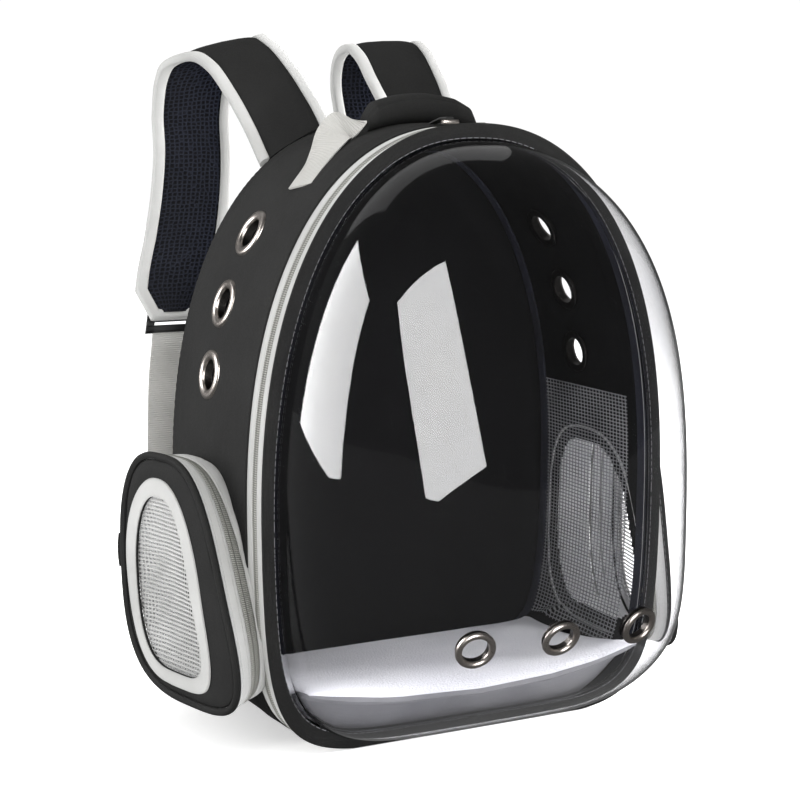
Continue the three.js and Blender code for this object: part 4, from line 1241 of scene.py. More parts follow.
@dataclass
class SidePods:
    """The two net-windowed pods, from the gusset out to their black faces."""

    body: BodyShape
    tilt: float = math.radians(14)
    reach: float = 0.175
    face: PodOutline = PodOutline(0.0733, 0.1133, 0.0618, 0.0856, 2.97, 3.19, 0.212, 0.198, -0.078)
    trim: PodOutline = PodOutline(0.0828, 0.1094, 0.0448, 0.0718, 2.1, 3.6, 0.08, 0.167, -0.11)
    window: PodOutline = PodOutline(0.0835, 0.1077, 0.0328, 0.0602, 2.6, 3.8, 0.187, 0.171, -0.111)
    foot: PodOutline = PodOutline(0.084, 0.112, 0.064, 0.075, 3, 3, 0.2, 0.2, 0)
    wall: float = 0.002
    piping: float = 0.0026
    face_band: float = 0.0100
    chain: float = 0.0082
    columns: int = 200

    def __post_init__(self) -> None:
        """Samples the outlines."""
        self.face_loop, self.trim_loop = self.face.loop(), self.trim.loop()
        self.window_loop, self.foot_loop = self.window.loop(), self.foot.loop()

    def on_face(self, side: Side, spot: tuple[float, float], lift: float) -> Vector:
        """Point of the tilted face. Args: side, spot in its plane, lift outwards."""
        return Vector((
            side.value * (self.reach + spot[0] * math.sin(self.tilt) + lift * math.cos(self.tilt)),
            self.body.front + spot[0] * math.cos(self.tilt) - lift * math.sin(self.tilt), spot[1]))

    def over_window(self, point: Vector, rim: float) -> bool:
        """Whether a point of the wall lies in a pod's window. Args: point: place. rim: cloth kept round it."""
        v = (point.z - self.foot.height) / (self.foot.half_height - rim)
        if abs(v) >= 1:
            return False
        middle = self.foot.centre + self.foot.half_height * self.foot.lean * v
        half = (self.foot.half_width - rim) * (1 - self.foot.taper * v) * (1 - abs(v) ** 3) ** (1 / 3)
        return abs(point.y - self.body.front - middle) < half

    def wall_point(self, side: Side, turn: float, inset: float, distance: float) -> Vector:
        """Point of the pod's wall. Args: side, turn round it, inset, distance down from the face."""
        top = self.on_face(side, self.face_loop.at(turn, inset + 0.0016), -self.piping)
        y, z = self.foot_loop.at(self.match(turn), inset)
        foot = Vector((side.value * (self.body.half_at(z) - 0.002), self.body.front + y, z))
        run = foot - top
        return top + run * min(1.0, distance / run.length)

    def match(self, turn: float) -> float:
        """Share of the foot's outline at the same angle as a share of the face's."""
        angle = self.face_loop.angle(turn)
        return float(np.interp(angle, self.foot_loop.angles, self.foot_loop.lengths)) / self.foot_loop.length

    def match_to(self, loop: EvenLoop, turn: float) -> float:
        """Share of another outline at the same angle as a share of the face's."""
        angle = self.face_loop.angle(turn)
        return float(np.interp(angle, loop.angles, loop.lengths)) / loop.length

    def band(self, side: Side, start: float, end: float, bulge: float) -> bmesh.types.BMesh:
        """A closed band of the wall. Args: side, start and end down the wall, bulge outwards."""
        steps = 8

        def place(u: float, v: float) -> Vector:
            """Point for a share along (u) and a share across (v)."""
            if v <= 0.5:
                share = v * 2
                out = bulge * (1 - (2 * share - 1) ** 4)
                return self.wall_point(side, u, -out, start + (end - start) * share)
            return self.wall_point(side, u, self.wall, start + (end - start) * (2 - v * 2))

        return bend_grid(self.columns, steps * 2, place, (self.face_loop.length, 2 * (min(end, 0.05) - start)))

    def base(self, side: Side, start: float) -> bmesh.types.BMesh:
        """The cloth between the coil and the gusset, gathered a little. Args: side, start down the wall."""
        rows = 14

        def place(u: float, v: float) -> Vector:
            """Point for a share along (u) and a share across (v)."""
            top = self.wall_point(side, u, 0.0, start)
            foot = self.wall_point(side, u, 0.0, 10.0)
            spot = top.lerp(foot, v)
            swell = math.sin(math.pi * v) * (0.0012 + 0.0010 * ripple(spot, 60, 3))
            return self.wall_point(side, u, -swell, (spot - self.wall_point(side, u, 0.0, 0.0)).length)

        return bend_grid(self.columns, rows, place, (self.face_loop.length, 0.03))

    def plate(self, side: Side) -> bmesh.types.BMesh:
        """The black face between the piping and the window. Args: side."""
        def place(u: float, v: float) -> Vector:
            """Point for a share along (u) and a share across (v)."""
            outer = self.face_loop.at(u, 2 * self.piping + GAP)
            inner = self.window_loop.at(self.match_to(self.window_loop, u))
            spot = tuple(a + (b - a) * v for a, b in zip(outer, inner))
            swell = 0.0010 * math.sin(math.pi * min(1.0, v * 1.6)) + 0.0006 * ripple((*spot, 0), 55, side.value)
            return self.on_face(side, spot, -0.0009 + swell * (1 - v) * 1.4)

        return bend_grid(self.columns, 14, place, (self.face_loop.length, 0.03))

    def ring(self, side: Side, outer: EvenLoop, inner: EvenLoop, low: float, high: float) -> bmesh.types.BMesh:
        """A flat closed ring. Args: side, outer and inner outlines, low and high lift."""
        profile = ((0.0, low), (0.04, high - 0.0002), (0.12, high), (0.5, high + 0.0002), (0.9, high),
                   (1.0, high - 0.0004), (1.0, low))

        def place(u: float, v: float) -> Vector:
            """Point for a share along (u) and a share across (v)."""
            share, lift = profile[round(v * len(profile)) % len(profile)]
            a = outer.at(self.match_to(outer, u))
            b = inner.at(self.match_to(inner, u))
            return self.on_face(side, tuple(p + (q - p) * share for p, q in zip(a, b)), lift)

        return bend_grid(self.columns, len(profile), place, (outer.length, 0.028))

    def net(self, side: Side) -> bmesh.types.BMesh:
        """The slack net over the window. Args: side."""
        loop = self.window_loop

        def place(u: float, v: float) -> Vector:
            """Point for a share along (u) and a share across (v)."""
            a, b = 2 * u - 1, 2 * v - 1
            square = max(abs(a), abs(b), 1e-9)
            angle = math.atan2(b, a)
            angle += 0.0 if angle >= -math.pi / 2 else TURN
            share = float(np.interp(angle, loop.angles, loop.lengths)) / loop.length
            rim = loop.at(share, -0.003)
            middle = (self.window.centre, self.window.height)
            spot = tuple(m + (r - m) * square for m, r in zip(middle, rim))
            hollow = (1 - square ** 2)
            rear = smooth(spot[0], 0.075, 0.115)
            folds = (math.sin((spot[1] * 0.9 + spot[0] * 0.8) * 210) * 0.0016 * rear
                     + ripple((*spot, 0), 42, 5) * 0.0016)
            return self.on_face(side, spot, -0.0026 - hollow * (0.0034 + 0.0028 * rear + folds))

        mesh = bend_grid(56, 76, place, (1.0, 1.0))
        layer = mesh.loops.layers.uv["UVMap"]
        for face in mesh.faces:
            for loop_ in face.loops:
                spot = loop_.vert.co
                loop_[layer].uv = ((spot.y - self.body.front) / math.cos(self.tilt), spot.z)
        return mesh

    def build(self, finishes: Finishes) -> None:
        """Builds both pods. Args: finishes: materials."""
        coil_start = self.face_band + GAP
        coil_end = coil_start + self.chain
        for side in Side:
            label = side.label
            middle = Vector((0, self.body.front + self.window.centre, self.window.height))
            # Painted light: the inner faces of the base band, coil, face band and plate take the pale pod
            # cloth, standing in for the outside light coming in through the net.
            cloth = self.base(side, coil_end + GAP)
            self.face_out(cloth, middle, 0)
            base = finish_piece(f"pod_base_cloth_{label}", cloth, [finishes.tape, finishes.lining],
                                f"pod_base_band_{label}", "grey_tape")
            thicken(base, self.wall - 0.0006, 0.0, 1)
            for name, start, end, bulge, finish, node, slot in (
                ("coil", coil_start, coil_end, 0.0007, finishes.coil, "pod_zip_chain", "zip_coil"),
                ("band_cloth", 0.0, self.face_band, 0.0003, finishes.tape, "pod_face_band", "grey_tape"),
            ):
                band = self.band(side, start, end, bulge)
                paint_inside(band, middle, 0)
                finish_piece(f"pod_{name}_{label}", band, [finish, finishes.lining], f"{node}_{label}", slot)
            self.build_piping(side, finishes)
            sheet = self.plate(side)
            outward(sheet, middle)
            plate = finish_piece(f"pod_plate_{label}", sheet, [finishes.cloth, finishes.lining],
                                 f"pod_face_{label}", "black_cloth")
            thicken(plate, 0.0016, 0.0, 1)
            finish_piece(f"pod_window_trim_{label}",
                         self.ring(side, self.trim_loop, self.window_loop, GAP, 0.0013),
                         [finishes.trim], f"pod_trim_{label}", "grey_tape")
            net = finish_piece(f"pod_net_sheet_{label}", self.net(side), [finishes.light_net],
                               f"pod_net_{label}", "light_net")
            self.build_tab(side, finishes)

    @staticmethod
    def face_out(mesh: bmesh.types.BMesh, centre: Vector, axis: int) -> None:
        """Makes an open tube look away from its axis. Args: mesh, centre: point of it, axis: its index."""
        mesh.normal_update()
        total = 0.0
        for face in mesh.faces:
            away = face.calc_center_median() - centre
            away[axis] = 0.0
            total += face.normal.dot(away.normalized())
        if total < 0:
            bmesh.ops.reverse_faces(mesh, faces=mesh.faces)

    def build_piping(self, side: Side, finishes: Finishes) -> None:
        """Builds the rolled edge of a pod's face. Args: side, finishes."""
        steps = 12

        def place(u: float, v: float) -> Vector:
            """Point for a share along (u) and a share across (v)."""
            turn = TURN * v
            groove = 1 - 0.16 * math.exp(-((v - 0.30) / 0.05) ** 2)
            inset = self.piping * (1 - math.cos(turn) * groove)
            return self.on_face(side, self.face_loop.at(u, inset), self.piping * math.sin(turn) * groove)

        mesh = bend_grid(self.columns + 40, steps, place, (self.face_loop.length, TURN * self.piping))
        finish_piece(f"pod_edge_roll_{side.label}", mesh, [finishes.rim], f"pod_piping_{side.label}",
                     "black_cloth")

    def build_tab(self, side: Side, finishes: Finishes) -> None:
        """Builds the small folded tab behind a pod's face. Args: side, finishes."""
        level, half = 0.122, 0.012
        edge = max(self.face.spot(a / 40)[0] for a in range(-20, 20))

        def place(u: float, v: float) -> Vector:
            """Point for a share along (u) and a share across (v)."""
            turn = TURN * v
            narrow = 1 - 0.5 * abs(2 * u - 1) ** 2
            reach = 0.0008 + 0.0042 * narrow * (0.5 + 0.5 * math.cos(turn))
            return self.on_face(side, (edge + reach, level + half * (2 * u - 1)), 0.0012 * math.sin(turn))

        mesh = bend_grid(12, 10, place, (0.024, 0.01))
        bmesh.ops.holes_fill(mesh, edges=[e for e in mesh.edges if e.is_boundary])
        finish_piece(f"pod_tab_cloth_{side.label}", mesh, [finishes.rim], f"pod_tab_{side.label}",
                     "black_cloth")


@dataclass
class Interior:
    """The inner side nets and the plush pad."""

    body: BodyShape
    net_top: float = 0.221
    net_bottom: float = 0.030
    net_front: float = 0.034
    pad_top: float = 0.027
    pad_back: float = 0.148
    pad_lip: float = 0.0155
    pad_edge: float = 0.0105
    pad_front_half: float = 0.130
    pad_front_rise: float = 0.009
    pad_curl: float = 0.016
    pad_curl_power: float = 2.3
    pad_rise_power: float = 1.4
    pad_wing: float = 0.6

    def build(self, finishes: Finishes) -> None:
        """Builds the nets and the pad. Args: finishes: materials."""
        back = self.body.back - 0.0166
        front = self.body.front + self.net_front
        for side in Side:
            def place(u: float, v: float, side: Side = side) -> Vector:
                """Point for a share along (u) and a share across (v)."""
                z = self.net_bottom + (self.net_top - self.net_bottom) * v
                y = front + (back - front) * u
                slack = math.sin(math.pi * u) * math.sin(math.pi * v)
                sink = 0.0042 + 0.0004 * slack * (1 + ripple(Vector((side.value, y, z)), 30))
                return Vector((side.value * (self.body.half_at(z) - sink), y, z))

            mesh = bend_grid(40, 60, place, (back - front, self.net_top - self.net_bottom))
            piece = finish_piece(f"inner_net_{side.label}", mesh, [finishes.dark_net], f"side_net_{side.label}",
                                 "dark_net")
        self.build_pad(finishes)

    def floor_at(self, x: float) -> float:
        """Height of the body's inner face under a distance from its middle."""
        low, high = 0.0033, 0.05
        for _ in range(20):
            middle = (low + high) / 2
            low, high = (low, middle) if self.body.half_at(middle) - 0.0036 > abs(x) else (middle, high)
        return high

    def build_pad(self, finishes: Finishes) -> None:
        """Builds the mat: its lip reaches into the dome and its front corners curl up.

        Args: finishes: materials."""
        front, back = self.body.front - self.pad_lip, self.body.front + self.pad_back
        half_back = self.body.half_at(0.021) - 0.0036
        lip_end = self.body.front + 0.0015

        def place(u: float, v: float) -> Vector:
            """Point for a share along (u) and a share across (v)."""
            turn = TURN * v
            across, up = signed_power(math.cos(turn), 0.26), signed_power(math.sin(turn), 0.5)
            y = front + (back - front) * u
            rise = (1 - u) ** self.pad_rise_power
            x = across * (half_back + (self.pad_front_half - half_back) * (1 - u))
            curl = self.pad_curl * abs(across) ** self.pad_curl_power
            top = self.pad_top + rise * (self.pad_front_rise + curl)
            edge = top - self.pad_edge
            floor = self.floor_at(x)
            wing = rise * max(0.0, (abs(across) - self.pad_wing) / (1 - self.pad_wing))
            rest = floor + max(0.0, edge - floor) * wing
            under = edge + (rest - edge) * smooth(y, lip_end, lip_end + 0.003)
            ends = max(0.08, 1 - abs(2 * u - 1) ** 14) ** 0.5
            lump = 0.0011 * ripple(Vector((x, y, 0)), 26, 2) * smooth(up, 0.2, 1.0)
            return Vector((x, y, (top + under) / 2 + (top - under) / 2 * up * ends + lump))

        mesh = bend_grid(70, 140, place, (back - front, 0.56))
        bmesh.ops.holes_fill(mesh, edges=[e for e in mesh.edges if e.is_boundary])
        mesh.normal_update()
        # Painted shade: the front faces of the lip take the darker grey cloth, standing in for the shade on the
        # mat's front side.
        for face in mesh.faces:
            if face.normal.z < 0.45 and face.calc_center_median().y < lip_end + 0.006:
                face.material_index = 1
        piece = finish_piece("floor_mat", mesh, [finishes.plush, finishes.mat_front_painted_shade], "floor_pad", "plush")
        AirFill(cap=0.0018).run(piece, lambda vert: vert.normal.z < 0.5)


# Straps and handle


class Course:
    """A smooth line through points, with a width direction that turns along it."""

    def __init__(self, points: Sequence[Vector], widths: Sequence[Vector], samples: int = 400) -> None:
        """Samples the line. Args: points, widths: one width direction for each point. samples: count."""
        spots = [self.spline(points, i / samples) for i in range(samples + 1)]
        ways = [self.spline(widths, i / samples) for i in range(samples + 1)]
        steps = [(b - a).length for a, b in zip(spots, spots[1:])]
        self.lengths = np.concatenate([[0.0], np.cumsum(steps)])
        self.spots = np.array(spots)
        self.ways = np.array(ways)
        self.length = float(self.lengths[-1])

    @staticmethod
    def spline(points: Sequence[Vector], share: float) -> Vector:
        """Catmull-Rom spline with centripetal knots. Args: points: control points. share: 0 to 1."""
        part = share * (len(points) - 1)
        index = min(len(points) - 2, int(part))
        t = part - index
        p1, p2 = points[index], points[index + 1]
        p0 = points[index - 1] if index else p1 * 2 - p2
        p3 = points[index + 2] if index + 2 < len(points) else p2 * 2 - p1
        d1, d2, d3 = (max(1e-6, (b - a).length ** 0.5) for a, b in ((p0, p1), (p1, p2), (p2, p3)))
        m1 = ((p1 - p0) / d1 - (p2 - p0) / (d1 + d2) + (p2 - p1) / d2) * d2
        m2 = ((p2 - p1) / d2 - (p3 - p1) / (d2 + d3) + (p3 - p2) / d3) * d2
        return (p1 * (2 * t ** 3 - 3 * t ** 2 + 1) + m1 * (t ** 3 - 2 * t ** 2 + t)
                + p2 * (3 * t ** 2 - 2 * t ** 3) + m2 * (t ** 3 - t ** 2))

    def read(self, table: np.ndarray, distance: float) -> Vector:
        """Row of a table at a distance along the line."""
        return Vector([float(np.interp(distance, self.lengths, table[:, i])) for i in range(3)])

    def frame(self, distance: float) -> tuple[Vector, Vector, Vector, Vector]:
        """Middle, width, along and out at a distance."""
        middle = self.read(self.spots, distance)
        step = 0.002
        ahead = (self.read(self.spots, min(self.length, distance + step))
                 - self.read(self.spots, max(0.0, distance - step)))
        along = ahead.normalized()
        width = self.read(self.ways, distance).normalized()
        skew = width.dot(along)
        out = width.cross(along).normalized()
        return middle, width / math.sqrt(1 - skew * skew), along, out

    def place(self, distance: float, across: float, lift: float) -> Vector:
        """Point beside the line. Args: distance along it, across its width, lift outwards."""
        middle, width, _, out = self.frame(distance)
        return middle + width * across + out * lift


def ribbon(course: Course, width: float, thickness: float, columns: int,
           radius: float = 0.0005) -> bmesh.types.BMesh:
    """A strip of webbing along a line. Args: course, width, thickness, columns, radius of its edges."""
    section = Section(round_section(width, thickness, radius, 2))

    def place(u: float, v: float) -> Vector:
        """Point for a share along (u) and a share across (v)."""
        across, lift = section.at(v)
        return course.place(u * course.length, across, lift)

    mesh = bend_grid(columns, section.rows, place, (course.length, section.length))
    bmesh.ops.holes_fill(mesh, edges=[e for e in mesh.edges if e.is_boundary])
    return mesh


@dataclass(frozen=True)
class StrapRow:
    """A point of a strap's route in mm: out, behind the back, above the top; lean and turn in degrees."""

    out: float
    behind: float
    above: float
    lean: float
    turn: float


STRAP_ROUTES: dict[Side, tuple[StrapRow, ...]] = {
    Side.LEFT: (
        StrapRow(56, 3.6, -14.4, 28, 0), StrapRow(58, 25, 7, 24, 0), StrapRow(62, 53, 32, 20, 0),
        StrapRow(68, 78, 52, 16, 0), StrapRow(75, 94, 59, 14, 0), StrapRow(84, 106, 52, 12, 0),
        StrapRow(93, 111, 33, 8, 0), StrapRow(99, 107, 8, 4, 0), StrapRow(103, 95, -24, 0, 0),
        StrapRow(110, 83, -56, 0, 0), StrapRow(120, 69, -87, 0, 0), StrapRow(132, 53, -116, 0, 0),
        StrapRow(141, 40, -144, 0, 0),
    ),
    Side.RIGHT: (
        StrapRow(58, 3.6, -14.4, 26, 0), StrapRow(59, 25, 8, 14, 15), StrapRow(60, 51, 35, 6, 25),
        StrapRow(61, 75, 55, 0, 20), StrapRow(60, 91, 62, -3, 12), StrapRow(57, 104, 55, -4, 8),
        StrapRow(54, 109, 36, -3, 4), StrapRow(55, 106, 10, 0, 0), StrapRow(62, 96, -22, 0, 0),
        StrapRow(76, 84, -53, 0, 0), StrapRow(96, 70, -83, 0, 0), StrapRow(118, 55, -112, 0, 0),
        StrapRow(136, 42, -140, 0, 0),
    ),
}

# Webbing under an adjuster: mm out, behind the back and above the top
WEBBING_ROUTE = ((149, 38, -185), (155, 27, -235), (160, 13, -295), (158, 5, -345), (149, 1.4, -375),
                 (138, 1.4, -392))


@dataclass
class Straps:
    """The two padded shoulder straps, with binding, adjuster and webbing."""

    body: BodyShape
    width: float = 0.062
    thickness: float = 0.008
    binding: float = 0.0085
    proud: float = 0.0006
    chamfer: float = 0.025
    tip: float = 0.032
    columns: int = 150

    def course(self, side: Side) -> Course:
        """The line that a strap follows. Args: side."""
        points, widths = [], []
        for row in STRAP_ROUTES[side]:
            lean, turn = math.radians(row.lean), math.radians(row.turn)
            points.append(self.spot(side, row.out, row.behind, row.above))
            widths.append(Vector((math.cos(lean) * math.cos(turn), -math.sin(turn),
                                  -side.value * math.sin(lean) * math.cos(turn))))
        return Course(points, widths)

    def spot(self, side: Side, out: float, behind: float, above: float) -> Vector:
        """Point given in mm out, behind the back and above the top."""
        return Vector((side.value * out / 1000, self.body.back + behind / 1000,
                       self.body.height + above / 1000))

    def half(self, distance: float, length: float) -> float:
        """Half width at a distance, narrower over the tip's chamfer."""
        narrow = max(0.0, (distance - (length - self.chamfer)) / self.chamfer)
        return self.width / 2 + (self.tip - self.width) / 2 * narrow

    def build(self, finishes: Finishes) -> None:
        """Builds both straps. Args: finishes: materials."""
        for side in Side:
            course = self.course(side)
            self.build_pad(side, course, finishes)
            self.build_binding(side, course, finishes)
            self.build_adjuster(side, course, finishes)

    def build_pad(self, side: Side, course: Course, finishes: Finishes) -> None:
        """Builds the padded middle: cloth outside, mesh inside. Args: side, course, finishes."""
        end = course.length - self.binding * 0.6

        def place(u: float, v: float) -> Vector:
            """Point for a share along (u) and a share across (v)."""
            distance = u * end
            half = self.half(distance, course.length) - self.binding + 0.001
            turn = TURN * v
            across = signed_power(math.cos(turn), 0.35)
            lift = signed_power(math.sin(turn), 0.6)
            swell = self.thickness / 2 * lift * (0.72 + 0.42 * (1 - abs(across) ** 2.5))
            wave = 0.0006 * ripple(Vector((distance, across * half, lift * 0.01)), 30, side.value)
            return course.place(distance, half * across, swell + wave)

        mesh = bend_grid(self.columns, 40, place, (end, 0.11))
        bmesh.ops.holes_fill(mesh, edges=[e for e in mesh.edges if e.is_boundary])
        for face in mesh.faces:
            centre = face.calc_center_median()
            nearest = int(np.argmin(np.linalg.norm(course.spots - np.array(centre), axis=1)))
            out = course.frame(float(course.lengths[nearest]))[3]
            face.material_index = 1 if face.normal.dot(out) < -0.2 else 0
        layer = mesh.loops.layers.uv["UVMap"]
        for face in mesh.faces:
            for loop in face.loops:
                turn = TURN * loop[layer].uv[1] / 0.11
                loop[layer].uv = (loop[layer].uv[0], 0.0225 * signed_power(math.cos(turn), 0.35))
        piece = finish_piece(f"strap_cushion_{side.label}", mesh, [finishes.cloth, finishes.spacer],
                             f"strap_pad_{side.label}", "black_mesh")
        spine = course.spots[::8]
        AirFill(cap=0.0015).run(piece, lambda vert: float(np.min(np.linalg.norm(spine - np.array(vert.co),
                                                                                axis=1))) > 0.016)

    def build_binding(self, side: Side, course: Course, finishes: Finishes) -> None:
        """Builds the folded tape round a strap's edge. Args: side, course, finishes."""
        steps = 14
        run = 2 * course.length + self.tip

        def edge(share: float) -> tuple[float, float, float, float]:
            """Outer distance and across, inner distance and across."""
            sign = -1 if share > 0.5 else 1
            travel = (1 - abs(2 * share - 1)) * run / 2
            if travel <= course.length:
                outer = travel
                inner = min(travel, course.length - self.binding)
                wide = self.half(outer, course.length)
                return outer, sign * wide, inner, sign * max(0.004,
                                                             self.half(inner, course.length) - self.binding)
            left = max(0.0, (run / 2 - travel) / (self.tip / 2))
            return (course.length, sign * left * self.tip / 2, course.length - self.binding,
                    sign * left * max(0.004,
                                      self.half(course.length - self.binding, course.length) - self.binding))

        def place(u: float, v: float) -> Vector:
            """Point for a share along (u) and a share across (v)."""
            outer_d, outer_a, inner_d, inner_a = edge(u)
            turn = TURN * v
            share = 0.5 - 0.5 * signed_power(math.cos(turn), 0.5)
            lift = signed_power(math.sin(turn), 0.5)
            thick = (self.thickness / 2 + self.proud) * (0.72 + 0.1 * share)
            return course.place(outer_d + (inner_d - outer_d) * share, outer_a + (inner_a - outer_a) * share,
                                thick * lift)

        mesh = bend_grid(self.columns * 2 + 60, steps, place, (run, 0.03))
        bmesh.ops.holes_fill(mesh, edges=[e for e in mesh.edges if e.is_boundary])
        finish_piece(f"strap_edge_tape_{side.label}", mesh, [finishes.trim], f"strap_binding_{side.label}",
                     "grey_tape")

    def build_adjuster(self, side: Side, course: Course, finishes: Finishes) -> None:
        """Builds the three-bar adjuster and the webbing under it. Args: side, course, finishes."""
        tip, width, along, out = course.frame(course.length)
        seat = self.thickness / 2 + self.proud + GAP

        def at(across: float, down: float, lift: float) -> Vector:
            """Point beside the tip. Args: across, down, lift in metres."""
            return tip + width * across + along * down + out * (seat + lift)

        mesh = bmesh.new()
        mesh.loops.layers.uv.new("UVMap")
        top, height, half, bar = -0.015, 0.022, 0.017, 0.004
        bars = [((-half, top), (half, top + bar)), ((-half, top + 0.009), (half, top + 0.013)),
                ((-half, top + height - bar), (half, top + height)),
                ((-half, top), (-half + bar, top + height)), ((half - bar, top), (half, top + height))]
        for (x0, d0), (x1, d1) in bars:
            made = bmesh.ops.create_cube(mesh, size=1.0)["verts"]
            for vert in made:
                across = x0 + (x1 - x0) * (vert.co.x + 0.5)
                down = d0 + (d1 - d0) * (vert.co.y + 0.5)
                vert.co = at(across, down, 0.0002 + 0.0036 * (vert.co.z + 0.5))
            edges = list({e for v in made for e in v.link_edges})
            bmesh.ops.bevel(mesh, geom=edges, offset=0.0007, segments=2, profile=0.5, affect="EDGES",
                            material=-1)
        bmesh.ops.recalc_face_normals(mesh, faces=mesh.faces)
        finish_piece(f"strap_slide_{side.label}", mesh, [finishes.plastic], f"strap_adjuster_{side.label}",
                     "black_plastic")
        points = [at(0, top + height + 0.001 + step, 0.002) for step in (0, 0.008)]
        points += [self.spot(side, *row) for row in WEBBING_ROUTE]
        line = Course(points, [Vector((1, 0, 0))] * len(points))
        finish_piece(f"strap_strip_{side.label}", ribbon(line, 0.025, 0.0016, 120), [finishes.webbing],
                     f"strap_webbing_{side.label}", "grey_webbing")


@dataclass
class Handle:
    """The rolled handle lying on the top, and the webbing at its ends."""

    body: BodyShape
    setback: float = 0.078
    length: float = 0.086
    height: float = 0.021
    depth: float = 0.024
    seat: float = 0.0008
    webbing: float = 0.024
    thickness: float = 0.0015

    def swell(self, along: float) -> float:
        """Thickness of the grip along its length, -1 to 1."""
        rows = ((-1, 0.62), (-0.86, 0.92), (-0.4, 1), (0.1, 1), (0.6, 0.94), (0.9, 0.78), (1, 0.5))
        return float(np.interp(along, [r[0] for r in rows], [r[1] for r in rows]))

    def build(self, finishes: Finishes) -> None:
        """Builds the grip and both webbings. Args: finishes: materials."""
        middle = self.body.front + self.setback

        def place(u: float, v: float) -> Vector:
            """Point for a share along (u) and a share across (v)."""
            along = 2 * u - 1
            turn = TURN * v
            swell = self.swell(along)
            x = along * self.length / 2
            seam = 1 - 0.09 * math.exp(-((v - 0.40) / 0.02) ** 2)
            crease = 1 + 0.03 * ripple(Vector((x, v * 0.1, 0)), 60)
            centre = self.body.top_at(x) + self.seat + self.height / 2 * swell
            radius = swell * seam * crease
            return Vector((x, middle + self.depth / 2 * radius * signed_power(math.cos(turn), 0.85),
                           centre + self.height / 2 * radius * signed_power(math.sin(turn), 0.85)))

        mesh = bend_grid(70, 40, place, (self.length, 0.07))
        bmesh.ops.holes_fill(mesh, edges=[e for e in mesh.edges if e.is_boundary])
        grip = finish_piece("handle_roll", mesh, [finishes.cloth], "handle_grip", "black_cloth")
        AirFill(cap=0.0015).run(grip, lambda vert: abs(vert.co.x) > 0.38 * self.length or vert.normal.z < -0.2)
        # Rows: mm past the grip's end, behind its line and off the body, and the direction of the width
        right = ((1, 0, 8, (0, 1, 0)), (6, 0, 7, (0, 1, 0)), (13, 1, 2.5, (0, 1, 0)), (19, 1, 1.2, (0, 1, 0)),
                 (26, 1, 1.2, (0, 1, 0)))
        tail = ((1, 0, 9, (0, 1, 0)), (6, 0, 11, (-.2, 1, .5)), (12, 2, 11, (-.5, .6, .8)),
                (19, 1, 9, (-.8, .6, .2)),
                (28, -3, 5, (-.6, .8, -.1)), (37, -7, 2.6, (-.4, .9, -.2)), (46, -11, 2.1, (-.3, .95, -.17)),
                (54, -14, 2.1, (-.3, .95, -.17)))
        for name, sign, rows in (("handle_webbing_right", 1, right), ("handle_webbing_tail", -1, tail)):
            points = [self.foot(sign, past / 1000, behind / 1000, off / 1000) for past, behind, off, _ in rows]
            line = Course(points, [Vector(way) for *_, way in rows])
            finish_piece(name + "_strip", ribbon(line, self.webbing, self.thickness, 80), [finishes.webbing],
                         name, "grey_webbing")

    def foot(self, sign: int, past: float, behind: float, off: float) -> Vector:
        """Point over the body's top.

        Args: sign of the side, past the grip's end, behind its line, off the body."""
        x = self.length / 2 + past
        slope = (self.body.top_at(x + 0.001) - self.body.top_at(x)) / 0.001
        normal = Vector((-slope, 0, 1)).normalized()
        point = Vector((x, self.body.front + self.setback + behind, self.body.top_at(x))) + normal * off
        return Vector((sign * point.x, point.y, point.z))


@dataclass
class ZipSlider:
    """The main zip's slider and its pull, near the top of the arch."""

    body: BodyShape
    along: float = -0.012
    length: float = 0.011
    width: float = 0.008
    height: float = 0.003

    def build(self, finishes: Finishes) -> None:
        """Builds the slider and the pull. Args: finishes: materials."""
        chain = -0.0718
        low = self.body.top_at(self.along) + 0.0004 + GAP
        mesh = bmesh.new()
        mesh.loops.layers.uv.new("UVMap")
        made = bmesh.ops.create_cube(mesh, size=1.0)["verts"]
        for vert in made:
            taper = 0.75 if vert.co.x < 0 else 1.0
            vert.co = Vector((self.along + self.length * vert.co.x, chain + self.width * vert.co.y * taper,
                              low + self.height * (vert.co.z + 0.5)))
        bmesh.ops.bevel(mesh, geom=mesh.edges[:], offset=0.0010, segments=3, profile=0.5, affect="EDGES",
                        material=-1)
        finish_piece("zip_slider_body", mesh, [finishes.metal], "main_zip_slider", "black_plastic")
        crown = low + self.height + 0.001
        points = [Vector((self.along, chain, crown)), Vector((self.along, chain + 0.008, crown)),
                  Vector((self.along, chain + 0.024, self.body.top_at(self.along) + 0.0013))]
        line = Course(points, [Vector((1, 0, 0))] * 3)
        finish_piece("zip_pull_tag", ribbon(line, 0.006, 0.0014, 24), [finishes.plastic], "main_zip_pull",
                     "black_plastic")


# Studio


